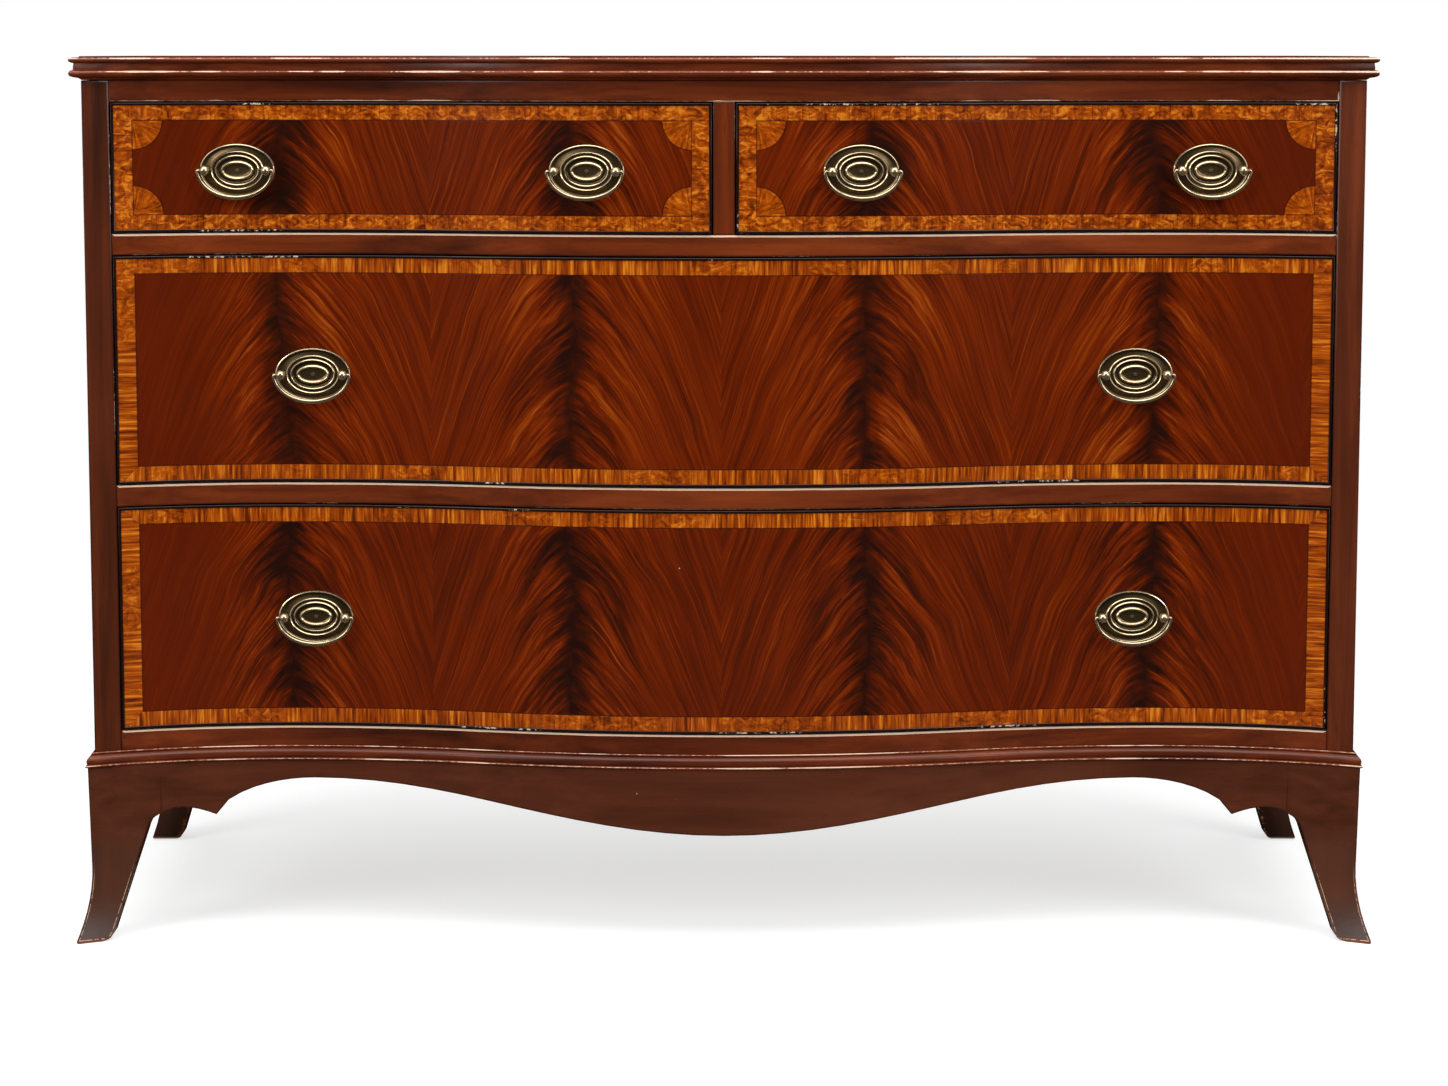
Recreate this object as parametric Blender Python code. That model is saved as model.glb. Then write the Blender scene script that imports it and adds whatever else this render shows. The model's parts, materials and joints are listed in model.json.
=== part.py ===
"""Serpentine chest of drawers: two small drawers over two long ones, on splayed feet.

Metres, +Z up, the front faces -Y. The origin is on the floor, under the middle of the chest.
"""

import math

import bmesh
import bpy

for old in list(bpy.data.objects):
    bpy.data.objects.remove(old, do_unlink=True)

# Case
case_width = 1.296
case_depth = 0.535
side_thickness = 0.026
stile_depth = 0.030
back_thickness = 0.012
back_rabbet = 0.012
rail_height = 0.0215
bottom_rail_height = 0.020
rail_depth = 0.088
muntin_width = 0.022
dust_board_thickness = 0.012
bottom_board_thickness = 0.018
small_opening = 0.134
middle_opening = 0.2355
lower_opening = 0.233

# Top
top_thickness = 0.024
top_overhang = 0.010

# Serpentine front, measured from the line through the two front corners
centre_bulge = 0.015
hollow_depth = 0.043
hollow_place_share = 0.6867
hollow_radius = 0.750
front_steps = 38

# Base moulding, apron and feet
base_height = 0.196
moulding_height = 0.015
moulding_reach = 0.010
base_proud = 0.006
apron_thickness = 0.018
foot_block = 0.071
shoulder_run = 0.0155
shoulder_height_share = 0.5714
arch_run = 0.020
arch_height_share = 0.6811
cusp_run = 0.055
cusp_height_share = 0.6357
front_crown_share = 0.2713
side_crown_share = 0.79
crown_height_share = 0.8276
middle_height_share = 0.5714
toe_width = 0.034
toe_splay = 0.015
toe_round = 0.008
waist = 0.002
knee_height_share = 0.3827
scallop_fullness_share = 0.62
apron_steps = (3, 4, 8, 14)
foot_steps = 9
toe_round_shares = (0.0, 0.12, 0.45)
foot_scallop_shares = (0.4, 0.75, 1.0)

# Drawers
drawer_gap = 0.0015
front_thickness = 0.022
drawer_side_thickness = 0.010
drawer_back_thickness = 0.010
drawer_bottom_thickness = 0.007
drawer_back_room = 0.035
side_drop = 0.005
back_drop = 0.012
bottom_lift = 0.009
groove_depth = 0.004
groove_play = 0.0008
dovetail_lap = 0.007
dovetail_slope_share = 1 / 6
tail_share = 0.37
tail_pitch = 0.042

# Pulls
boring = 0.0635
plate_width = 0.078
plate_height = 0.057
plate_relief = 0.0032
plate_steps = 18
crisp_angle = math.radians(40)
post_radius = 0.0032
post_foot_share = 0.25
post_steps = 8
ball_radius = 0.0050
ball_rings = 6
axis_reach = 0.0125
pin_radius = 0.0014
pin_start_share = 0.25
pin_play = 0.0004
eye_steps = 6
bail_reach = 0.0385
bail_drop = 0.0270
bail_end_radius = 0.0016
bail_grip_radius = 0.0026
bail_steps = 5
bail_shoulder_share = 0.045
bail_start_share = 0.14
small_pull_share = 0.5827
small_pull_height_share = 0.4776
long_pull_share = 0.652
middle_pull_height_share = 0.4756
lower_pull_height_share = 0.4936

# Fits
clearance = 0.0003
overrun = 0.004
weld = 0.00001

# Places that follow from the sizes
case_half = case_width / 2
hollow_place = case_half * hollow_place_share
opening_half = case_half - side_thickness
front_reach = centre_bulge + top_overhang
front_y = front_reach - (case_depth + front_reach) / 2
back_y = front_y + case_depth
panel_y = back_y - back_thickness
rail_back_y = front_y + rail_depth
drawer_length = case_depth - back_thickness - drawer_back_room
carcass_z = base_height - moulding_height
lower_z = base_height + bottom_rail_height
middle_rail_z = lower_z + lower_opening
middle_z = middle_rail_z + rail_height
upper_rail_z = middle_z + middle_opening
small_z = upper_rail_z + rail_height
top_rail_z = small_z + small_opening
top_z = top_rail_z + rail_height
apron_half = case_half + base_proud - foot_block
apron_top_z = carcass_z - clearance
shoulder_height = base_height * shoulder_height_share
arch_height = base_height * arch_height_share
cusp_height = base_height * cusp_height_share
crown_height = base_height * crown_height_share
middle_height = base_height * middle_height_share
knee_height = base_height * knee_height_share

# The bulge meets the hollow where both arcs have the same slope
turn_angle = 2 * math.atan((centre_bulge + hollow_depth) / hollow_place)
bulge_radius = hollow_place / math.sin(turn_angle) - hollow_radius
corner_run = case_half - hollow_place
corner_radius = (corner_run ** 2 + hollow_depth ** 2) / (2 * hollow_depth)


def front_line(x, grow=0.0):
    """The front's Y at a place across it, moved outwards by grow along the front's normal."""
    across = abs(x)
    if across <= math.sin(turn_angle) * (bulge_radius + grow):
        reach = math.sqrt((bulge_radius + grow) ** 2 - across ** 2)
        return front_y - centre_bulge + bulge_radius - reach
    radius = hollow_radius if across <= hollow_place else corner_radius
    reach = math.sqrt((radius - grow) ** 2 - (across - hollow_place) ** 2)
    return front_y + hollow_depth - radius + reach


def front_angle(x):
    """How far the front turns about +Z at a place across it."""
    across = abs(x)
    if across <= math.sin(turn_angle) * bulge_radius:
        angle = math.asin(across / bulge_radius)
    else:
        radius = hollow_radius if across <= hollow_place else corner_radius
        angle = -math.asin((across - hollow_place) / radius)
    return math.copysign(angle, x)


def stations(start, end, count=0):
    """Even places across the front, as close together as on the whole front."""
    count = count or max(2, round(front_steps * abs(end - start) / case_width))
    return [start + (end - start) * step / count for step in range(count + 1)]


def front_points(start, end, grow=0.0, count=0):
    return [(x, front_line(x, grow)) for x in stations(start, end, count)]


def make_collection(name):
    made = bpy.data.collections.new(name)
    bpy.context.scene.collection.children.link(made)
    return made


pieces = make_collection("serpentine_chest")
cutters = make_collection("cutters")


def make_material(name, colour, roughness, metallic=0.0):
    made = bpy.data.materials.new(name)
    made.use_nodes = True
    shader = made.node_tree.nodes["Principled BSDF"]
    shader.inputs["Base Color"].default_value = (*colour, 1.0)
    shader.inputs["Roughness"].default_value = roughness
    shader.inputs["Metallic"].default_value = metallic
    made.diffuse_color = (*colour, 1.0)
    return made


case_wood = make_material("case_mahogany", (0.110, 0.032, 0.014), 0.35)
front_wood = make_material("flame_mahogany", (0.210, 0.065, 0.018), 0.30)
inner_wood = make_material("pine", (0.420, 0.250, 0.120), 0.70)
brass = make_material("aged_brass", (0.480, 0.360, 0.160), 0.35, 1.0)


def add_object(name, data, wood, collection=pieces):
    made = bpy.data.objects.new(name, data)
    collection.objects.link(made)
    if wood:
        data.materials.append(wood)
    return made


def turned_left(outline):
    """The same outline, run so that its inside lies to the left."""
    area = 0.0
    for (x0, y0), (x1, y1) in zip(outline, outline[1:] + outline[:1]):
        area += x0 * y1 - x1 * y0
    return outline if area > 0 else outline[::-1]


def board(name, outlines, low, high, plane, wood, collection=pieces):
    """Flat outlines cut from a board that lies between two planes.

    plan: outlines in X and Y, between two heights. side: outlines in Y and Z, between two X.
    """
    curve = bpy.data.curves.new(name, "CURVE")
    curve.dimensions = "2D"
    curve.fill_mode = "BOTH"
    curve.extrude = (high - low) / 2
    for outline in outlines:
        spline = curve.splines.new("POLY")
        spline.points.add(len(outline) - 1)
        for point, (u, v) in zip(spline.points, turned_left(outline)):
            point.co = (u, v, 0, 1)
        spline.use_cyclic_u = True
    made = add_object(name, curve, wood, collection)
    if plane == "side":
        made.rotation_euler = (math.pi / 2, 0, math.pi / 2)
        made.location.x = (low + high) / 2
    else:
        made.location.z = (low + high) / 2
    return made


def box(name, low, high, wood, collection=pieces):
    mesh = bpy.data.meshes.new(name)
    shape = bmesh.new()
    bmesh.ops.create_cube(shape, size=1)
    bmesh.ops.scale(shape, vec=[b - a for a, b in zip(low, high)], verts=shape.verts)
    shape.to_mesh(mesh)
    shape.free()
    made = add_object(name, mesh, wood, collection)
    made.location = [(a + b) / 2 for a, b in zip(low, high)]
    return made


def as_mesh(curve_object):
    """The same piece as a welded mesh, so that it can be cut."""
    bpy.context.view_layer.update()
    graph = bpy.context.evaluated_depsgraph_get()
    mesh = bpy.data.meshes.new_from_object(curve_object.evaluated_get(graph))
    shape = bmesh.new()
    shape.from_mesh(mesh)
    bmesh.ops.remove_doubles(shape, verts=shape.verts, dist=weld)
    shape.to_mesh(mesh)
    shape.free()
    name = curve_object.name
    collection = curve_object.users_collection[0]
    matrix = curve_object.matrix_world.copy()
    bpy.data.objects.remove(curve_object, do_unlink=True)
    made = bpy.data.objects.new(name, mesh)
    collection.objects.link(made)
    made.matrix_world = matrix
    return made


def combine(target, tool, operation="DIFFERENCE"):
    modifier = target.modifiers.new(tool.name, "BOOLEAN")
    modifier.operation = operation
    modifier.solver = "EXACT"
    modifier.object = tool


def as_cutter(made):
    made.hide_render = True
    made.display_type = "WIRE"
    return made


def loft(name, rings, wood):
    """A skin over rings of points, with both ends capped."""
    mesh = bpy.data.meshes.new(name)
    shape = bmesh.new()
    loops = [[shape.verts.new(point) for point in ring] for ring in rings]
    for lower, upper in zip(loops, loops[1:]):
        for index, start in enumerate(lower):
            after = (index + 1) % len(lower)
            shape.faces.new((start, lower[after], upper[after], upper[index]))
    shape.faces.new(loops[0][::-1])
    shape.faces.new(loops[-1])
    bmesh.ops.recalc_face_normals(shape, faces=shape.faces)
    shape.to_mesh(mesh)
    shape.free()
    return add_object(name, mesh, wood)


def quarter_arc(share):
    """1 at share 0, falling ever faster to 0 at share 1, as a worn quarter circle does."""
    return (1 - share ** 2) ** scallop_fullness_share


# Case boards
def make_sides():
    for word, sign in (("left", -1), ("right", 1)):
        outer = sign * case_half
        inner = sign * opening_half
        rabbet = sign * (opening_half + back_rabbet)
        high = top_z - clearance
        stile_back = front_y + stile_depth
        outline = front_points(inner, outer) + [(outer, stile_back), (inner, stile_back)]
        board(f"stile_{word}", [outline], carcass_z, high, "plan", case_wood)
        start = stile_back + clearance
        outline = [(outer, start), (outer, back_y), (rabbet, back_y)]
        outline += [(rabbet, panel_y), (inner, panel_y), (inner, start)]
        board(f"side_{word}", [outline], carcass_z, high, "plan", case_wood)


def make_rail(name, low, high):
    half = opening_half - clearance
    outline = front_points(-half, half) + [(half, rail_back_y), (-half, rail_back_y)]
    board(name, [outline], low, high, "plan", case_wood)


def make_rails():
    make_rail("bottom_rail", carcass_z, lower_z)
    make_rail("middle_rail", middle_rail_z, middle_z)
    make_rail("upper_rail", upper_rail_z, small_z)
    make_rail("top_rail", top_rail_z, top_z - clearance)


def make_partition():
    half = muntin_width / 2
    low = small_z + clearance
    high = top_rail_z - clearance
    outline = front_points(-half, half) + [(half, rail_back_y), (-half, rail_back_y)]
    board("centre_muntin", [outline], low, high, "plan", case_wood)
    front_corner = (-half, rail_back_y + clearance, low)
    back_corner = (half, panel_y - clearance, top_z - clearance)
    box("centre_partition", front_corner, back_corner, inner_wood)


def make_inner_boards():
    half = opening_half - clearance
    start = rail_back_y + clearance
    end = panel_y - clearance
    for name, top, thickness in (
        ("bottom_board", lower_z, bottom_board_thickness),
        ("middle_dust_board", middle_z, dust_board_thickness),
        ("upper_dust_board", small_z, dust_board_thickness),
    ):
        box(name, (-half, start, top - thickness), (half, end, top), inner_wood)
    half = opening_half + back_rabbet - clearance
    front_corner = (-half, panel_y + clearance, carcass_z)
    box("back_panel", front_corner, (half, back_y, top_z - clearance), inner_wood)


# Depths are shares of the top's thickness down from its surface, insets are shares of the
# overhang in from the tip: a step, a bead, a small hollow, a second bead and a fillet.
top_edge_shares = [
    (0.90, 0.00),
    (0.90, 0.06),
    (0.30, 0.08),
    (0.08, 0.13),
    (0.02, 0.20),
    (0.10, 0.28),
    (0.30, 0.34),
    (0.46, 0.38),
    (0.46, 0.54),
    (0.20, 0.60),
    (0.03, 0.68),
    (0.00, 0.75),
    (0.08, 0.82),
    (0.30, 0.87),
    (0.90, 0.93),
    (1.10, 1.00),
]


def make_top():
    """The board with its moulded edge on the front and both ends. The back is plain."""
    rings = []
    for inset_share, depth_share in top_edge_shares:
        grow = top_overhang * (1 - inset_share)
        half = case_half + grow
        z = top_z + top_thickness * (1 - depth_share)
        ring = [(x, y, z) for x, y in front_points(-half, half, grow, front_steps)]
        rings.append(ring + [(half, back_y, z), (-half, back_y, z)])
    loft("top_board", rings, case_wood)


# Out from the case as shares of the moulding's reach, heights as shares of its height
moulding_shares = [
    (0.00, 1.00),
    (0.12, 1.00),
    (0.36, 0.86),
    (0.58, 0.66),
    (0.82, 0.54),
    (0.88, 0.48),
    (0.76, 0.40),
    (0.92, 0.34),
    (1.00, 0.24),
    (1.00, 0.12),
    (0.92, 0.02),
    (0.84, 0.00),
    (0.00, 0.00),
]


def make_base_moulding():
    """One moulding mitred round the front and both ends."""
    inner = clearance
    rings = []
    for step in range(-1, front_steps + 2):
        ring = []
        for out_share, height_share in moulding_shares:
            grow = inner + (moulding_reach - inner) * out_share
            half = case_half + grow
            z = carcass_z + moulding_height * height_share
            if 0 <= step <= front_steps:
                x = half * (2 * step / front_steps - 1)
                ring.append((x, front_line(x, grow), z))
            else:
                ring.append((math.copysign(half, step), back_y, z))
        rings.append(ring)
    loft("base_moulding", rings, case_wood)


def apron_edge(run, half_run, crown_share, middle):
    """Height of the apron's lower edge at a run from the foot block, up to its middle."""
    crown_run = half_run * crown_share
    if run <= arch_run:
        share = (arch_run - run) / (arch_run + shoulder_run)
        return shoulder_height + (arch_height - shoulder_height) * quarter_arc(share)
    if run <= cusp_run:
        share = (cusp_run - run) / (cusp_run - arch_run)
        return cusp_height + (arch_height - cusp_height) * math.sin(math.pi / 2 * share)
    if run <= crown_run:
        share = (crown_run - run) / (crown_run - cusp_run)
        return cusp_height + (crown_height - cusp_height) * quarter_arc(share)
    share = (run - crown_run) / (half_run - crown_run)
    return middle + (crown_height - middle) * (1 + math.cos(math.pi * share)) / 2


def apron_runs(half_run, crown_share):
    """Runs from the foot block to the apron's middle, closer together on the small curves."""
    runs = [0.0]
    for end, count in zip((arch_run, cusp_run, half_run * crown_share, half_run), apron_steps):
        start = runs[-1]
        runs += [start + (end - start) * step / count for step in range(1, count + 1)]
    return runs


def make_front_apron():
    half_run = apron_half - clearance
    places = [run - half_run for run in apron_runs(half_run, front_crown_share)]
    places += [-place for place in places[-2::-1]]
    rings = []
    for x in places:
        low = apron_edge(half_run - abs(x), half_run, front_crown_share, middle_height)
        outer = front_line(x, base_proud)
        inner = front_line(x, base_proud - apron_thickness)
        ring = [(x, outer, apron_top_z), (x, inner, apron_top_z)]
        rings.append(ring + [(x, inner, low), (x, outer, low)])
    loft("apron_front", rings, case_wood)


def make_side_aprons():
    start = front_y - base_proud + foot_block + clearance
    end = back_y - foot_block - clearance
    middle = (start + end) / 2
    half_run = (end - start) / 2
    lower = []
    for run in apron_runs(half_run, side_crown_share):
        lower.append((start + run, apron_edge(run, half_run, side_crown_share, crown_height)))
    lower += [(2 * middle - y, z) for y, z in lower[-2::-1]]
    outline = lower + [(end, apron_top_z), (start, apron_top_z)]
    outer = case_half + base_proud
    inner = outer - apron_thickness
    board("apron_left", [outline], -outer, -inner, "side", case_wood)
    board("apron_right", [outline], inner, outer, "side", case_wood)


foot_block_z = apron_edge(0.0, apron_half, front_crown_share, middle_height)


def foot_outer(z):
    """How far the foot's outer edge stands out from the case at a height."""
    narrowing = min(1.0, (apron_top_z - z) / (apron_top_z - knee_height))
    reach = base_proud - waist * narrowing
    if z < knee_height:
        reach += toe_splay * (1 - z / knee_height) ** 2
    return reach


def foot_inner(z):
    """How far the foot's inner edge lies inside the apron's face line at a height."""
    if z >= foot_block_z:
        return foot_block
    if z >= shoulder_height:
        rise = (z - shoulder_height) / (arch_height - shoulder_height)
        share = math.sqrt(1 - rise ** (1 / scallop_fullness_share))
        return foot_block + arch_run - share * (arch_run + shoulder_run)
    toe = toe_width - (foot_outer(0.0) - base_proud)
    inner = toe + (foot_block - shoulder_run - toe) * z / shoulder_height
    if z < toe_round:
        inner -= toe_round - math.sqrt(toe_round ** 2 - (toe_round - z) ** 2)
    return inner


def foot_heights():
    shank = shoulder_height - toe_round
    scallop = foot_block_z - shoulder_height
    heights = [toe_round * share for share in toe_round_shares]
    heights += [toe_round + shank * step / foot_steps for step in range(foot_steps + 1)]
    heights += [shoulder_height + scallop * share for share in foot_scallop_shares]
    return heights + [apron_top_z]


def make_feet():
    """Splayed feet: the front pair flares forwards and outwards, the rear pair only outwards."""
    for word, sign in (("left", -1), ("right", 1)):
        front_rings = []
        rear_rings = []
        for z in foot_heights():
            grow = foot_outer(z)
            width = foot_inner(z) + grow - base_proud
            outer = case_half + grow
            inner = outer - width
            face = [(sign * x, front_line(x, grow), z) for x in (inner, (inner + outer) / 2, outer)]
            depth_y = front_y - grow + width
            front_rings.append(face + [(sign * outer, depth_y, z), (sign * inner, depth_y, z)])
            start_y = back_y - width
            corners = ((inner, start_y), (outer, start_y), (outer, back_y), (inner, back_y))
            rear_rings.append([(sign * x, y, z) for x, y in corners])
        loft(f"foot_front_{word}", front_rings, case_wood)
        loft(f"foot_rear_{word}", rear_rings, case_wood)


# Drawers
def tails(low, high, root_y, tip_y, grow=0.0):
    """Dovetail outlines in Y and Z along one end of a drawer side, narrow at the root."""
    count = max(2, round((high - low) / tail_pitch))
    pitch = (high - low) / count
    wide = pitch * tail_share + grow
    narrow = wide - abs(tip_y - root_y) * dovetail_slope_share
    tip = tip_y + math.copysign(grow, tip_y - root_y)
    shapes = []
    for index in range(count):
        middle = low + pitch * (index + 1 / 2)
        lower = [(root_y, middle - narrow), (tip, middle - wide)]
        shapes.append(lower + [(tip, middle + wide), (root_y, middle + narrow)])
    return shapes


def make_drawer(name, left, right, opening_z, opening_height):
    """Front, two sides, back and bottom, dovetailed with laps in front and right through behind."""
    x0 = left + drawer_gap
    x1 = right - drawer_gap
    in0 = x0 + drawer_side_thickness
    in1 = x1 - drawer_side_thickness
    low = opening_z + drawer_gap
    high = opening_z + opening_height - drawer_gap
    side_low = opening_z + clearance
    side_high = high - side_drop
    groove_low = side_low + bottom_lift
    groove_high = groove_low + drawer_bottom_thickness + 2 * groove_play
    rear_y = front_y + drawer_length
    back_in_y = rear_y - drawer_back_thickness
    pin_y = back_in_y - clearance
    back_low = groove_high
    back_high = side_high - back_drop
    inner_grow = -front_thickness
    groove_grow = groove_depth - front_thickness

    flats = {}
    for inner_x in (in0, in1):
        root = front_line(inner_x, inner_grow)
        flats[inner_x] = (root, front_line(inner_x) + dovetail_lap)
    outline = front_points(x0, x1)
    outline += [(x1, flats[in1][0]), (in1, flats[in1][0])]
    outline += front_points(in1, in0, inner_grow)[1:]
    outline += [(x0, flats[in0][0])]
    front = as_mesh(board(f"{name}_front", [outline], low, high, "plan", front_wood))
    corners = ((x0, back_in_y, back_low), (x1, rear_y, back_high))
    back_board = box(f"{name}_back", *corners, inner_wood)

    groove_ends = (in0 - groove_depth, in1 + groove_depth)
    groove_line = front_points(*groove_ends, groove_grow)
    behind = max(y for x, y in front_points(in0, in1, inner_grow)) + overrun
    outline = groove_line + [(groove_ends[1], behind), (groove_ends[0], behind)]
    heights = (groove_low, groove_high)
    groove = board(f"{name}_front_groove", [outline], *heights, "plan", None, cutters)
    combine(front, as_cutter(as_mesh(groove)))

    for word, outer_x, inner_x in (("left", x0, in0), ("right", x1, in1)):
        root_y, tip_y = flats[inner_x]
        out = math.copysign(overrun, outer_x - inner_x)
        lapped = tails(side_low, side_high, root_y + clearance, tip_y + clearance)
        through = tails(back_low, back_high, pin_y, rear_y)
        outline = [(rear_y, side_low), (rear_y, back_low - clearance)]
        outline += [(pin_y, back_low - clearance)]
        outline += [point for shape in through for point in shape]
        outline += [(pin_y, back_high + clearance), (rear_y, back_high + clearance)]
        outline += [(rear_y, side_high), (root_y + clearance, side_high)]
        outline += [point for shape in lapped[::-1] for point in shape[::-1]]
        outline += [(root_y + clearance, side_low)]
        span = sorted((outer_x, inner_x))
        side = as_mesh(board(f"{name}_side_{word}", [outline], *span, "side", inner_wood))

        span = sorted((outer_x + out, inner_x - math.copysign(clearance, out)))
        sockets = tails(side_low, side_high, root_y + clearance, tip_y + clearance, clearance)
        for shape in sockets:
            shape[0] = (shape[0][0] + overrun, shape[0][1])
            shape[-1] = (shape[-1][0] + overrun, shape[-1][1])
        sockets = board(f"{name}_sockets_{word}", sockets, *span, "side", None, cutters)
        combine(front, as_cutter(as_mesh(sockets)))

        pins = tails(back_low, back_high, pin_y, rear_y, clearance)
        pins = board(f"{name}_pins_{word}", pins, *span, "side", None, cutters)
        combine(back_board, as_cutter(as_mesh(pins)))

        start = min(y for x, y in groove_line) - overrun
        span = sorted((inner_x + math.copysign(groove_depth, out), inner_x - out))
        slot_low = (span[0], start, groove_low)
        slot_high = (span[1], rear_y + overrun, groove_high)
        slot = box(f"{name}_slot_{word}", slot_low, slot_high, None, cutters)
        combine(side, as_cutter(slot))

    ends = (groove_ends[0] + groove_play, groove_ends[1] - groove_play)
    outline = front_points(*ends, groove_grow - groove_play)
    outline += [(ends[1], rear_y), (ends[0], rear_y)]
    heights = (groove_low + groove_play, groove_high - groove_play)
    board(f"{name}_bottom", [outline], *heights, "plan", inner_wood)


# Rings of the stamped plate: shares of its half width, of its half height and of its relief
plate_shares = [
    (1.00, 1.00, 0.00),
    (0.97, 0.96, 0.80),
    (0.93, 0.91, 0.30),
    (0.66, 0.67, 0.40),
    (0.60, 0.57, 1.00),
    (0.54, 0.50, 0.50),
    (0.47, 0.42, 0.22),
    (0.41, 0.35, 0.90),
    (0.34, 0.26, 0.42),
]


def seat_reach(x):
    """How far a flat plate stands off the curved front where only its ends touch."""
    angle = front_angle(x)
    reach = 0.0
    for sign in (-1, 1):
        run = sign * plate_width / 2
        y = front_line(x + run * math.cos(angle)) - front_line(x) - run * math.sin(angle)
        reach = max(reach, -y * math.cos(angle))
    return reach + 2 * clearance


def cylinder_between(name, radius, start, end, axis, steps):
    """A plain round rod along one axis, as a cutter or as a piece to join."""
    bpy.ops.mesh.primitive_cylinder_add(vertices=steps, radius=radius, depth=abs(end - start))
    made = bpy.context.object
    made.name = name
    for collection in list(made.users_collection):
        collection.objects.unlink(made)
    cutters.objects.link(made)
    if axis == "X":
        made.rotation_euler.y = math.pi / 2
        made.location.x = (start + end) / 2
    else:
        made.rotation_euler.x = math.pi / 2
        made.location.y = (start + end) / 2
    return as_cutter(made)


def make_pull(name, x, z):
    """A stamped oval plate with two ball headed posts, and a bail hung in them."""
    hub = bpy.data.objects.new(f"{name}_place", None)
    pieces.objects.link(hub)
    hub.location = (x, front_line(x), z)
    hub.rotation_euler.z = front_angle(x)
    seat = seat_reach(x)
    axis_y = -(seat + axis_reach)

    rings = []
    for wide_share, tall_share, relief_share in plate_shares:
        y = -(seat + plate_relief * relief_share)
        ring = []
        for step in range(plate_steps):
            turn = 2 * math.pi * step / plate_steps
            u = plate_width / 2 * wide_share * math.cos(turn)
            v = plate_height / 2 * tall_share * math.sin(turn)
            ring.append((u, y, v))
        rings.append(ring)
    plate = loft(f"{name}_plate", rings, brass)
    plate.parent = hub
    plate.data.shade_smooth()
    plate.data.set_sharp_from_angle(angle=crisp_angle)

    for sign, word in ((-1, "left"), (1, "right")):
        post_x = sign * boring / 2
        foot_y = -(seat + plate_relief * post_foot_share)
        post = cylinder_between(f"{name}_post_{word}", post_radius, foot_y, axis_y, "Y", post_steps)
        post.location.x = post_x
        post.parent = hub
        combine(plate, post, "UNION")
        bpy.ops.mesh.primitive_uv_sphere_add(
            segments=post_steps, ring_count=ball_rings, radius=ball_radius
        )
        ball = bpy.context.object
        ball.name = f"{name}_ball_{word}"
        for collection in list(ball.users_collection):
            collection.objects.unlink(ball)
        cutters.objects.link(as_cutter(ball))
        ball.rotation_euler = (math.pi / 2, math.pi / post_steps, 0)
        ball.location = (post_x, axis_y, 0)
        ball.parent = hub
        combine(plate, ball, "UNION")
        far = post_x + sign * (ball_radius + overrun)
        eye_radius = pin_radius + pin_play
        eye = cylinder_between(f"{name}_eye_{word}", eye_radius, post_x, far, "X", eye_steps)
        eye.location.y = axis_y
        eye.parent = hub
        combine(plate, eye)

    curve = bpy.data.curves.new(f"{name}_bail", "CURVE")
    curve.dimensions = "3D"
    curve.bevel_depth = bail_grip_radius
    curve.bevel_resolution = 1
    curve.use_fill_caps = True
    pin_share = pin_radius / bail_grip_radius
    end_share = bail_end_radius / bail_grip_radius
    pin_inner = boring / 2 + ball_radius * pin_start_share
    pin_outer = boring / 2 + ball_radius + 2 * clearance
    half_points = [(pin_inner, 0.0, pin_share), (pin_outer, 0.0, pin_share)]
    half_points.append((bail_reach, -bail_drop * bail_shoulder_share, end_share))
    for step in range(bail_steps + 1):
        run = bail_start_share + (1 - bail_start_share) * step / bail_steps
        turn = math.pi / 2 * run
        share = end_share + (1 - end_share) * math.sin(turn) ** 2
        half_points.append((bail_reach * math.cos(turn), -bail_drop * math.sin(turn), share))
    points = half_points + [(-u, v, share) for u, v, share in half_points[-2::-1]]
    spline = curve.splines.new("POLY")
    spline.points.add(len(points) - 1)
    for point, (u, v, share) in zip(spline.points, points):
        point.co = (u, 0, v, 1)
        point.radius = share
    bail = add_object(f"{name}_bail", curve, brass)
    bail.location.y = axis_y
    bail.parent = hub


def make_drawers():
    half = muntin_width / 2
    make_drawer("top_left_drawer", -opening_half, -half, small_z, small_opening)
    make_drawer("top_right_drawer", half, opening_half, small_z, small_opening)
    make_drawer("middle_drawer", -opening_half, opening_half, middle_z, middle_opening)
    make_drawer("lower_drawer", -opening_half, opening_half, lower_z, lower_opening)


def make_pulls():
    small_middle = (opening_half + muntin_width / 2) / 2
    small_spread = (opening_half - muntin_width / 2) / 2 * small_pull_share
    for drawer, sign in (("top_left_drawer", -1), ("top_right_drawer", 1)):
        for word, side in (("left", -1), ("right", 1)):
            x = sign * small_middle + side * small_spread
            make_pull(f"{drawer}_{word}", x, small_z + small_opening * small_pull_height_share)
    for drawer, z in (
        ("middle_drawer", middle_z + middle_opening * middle_pull_height_share),
        ("lower_drawer", lower_z + lower_opening * lower_pull_height_share),
    ):
        for word, side in (("left", -1), ("right", 1)):
            make_pull(f"{drawer}_{word}", side * case_half * long_pull_share, z)


make_sides()
make_rails()
make_partition()
make_inner_boards()
make_top()
make_base_moulding()
make_front_apron()
make_side_aprons()
make_feet()
make_drawers()
make_pulls()
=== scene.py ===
# Serpentine chest of drawers: its woods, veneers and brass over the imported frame, in a plain studio.
# Metres, +Z up, the front faces -Y.
import json
import math

import bmesh
import bpy
from mathutils import Matrix, Vector

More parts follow.
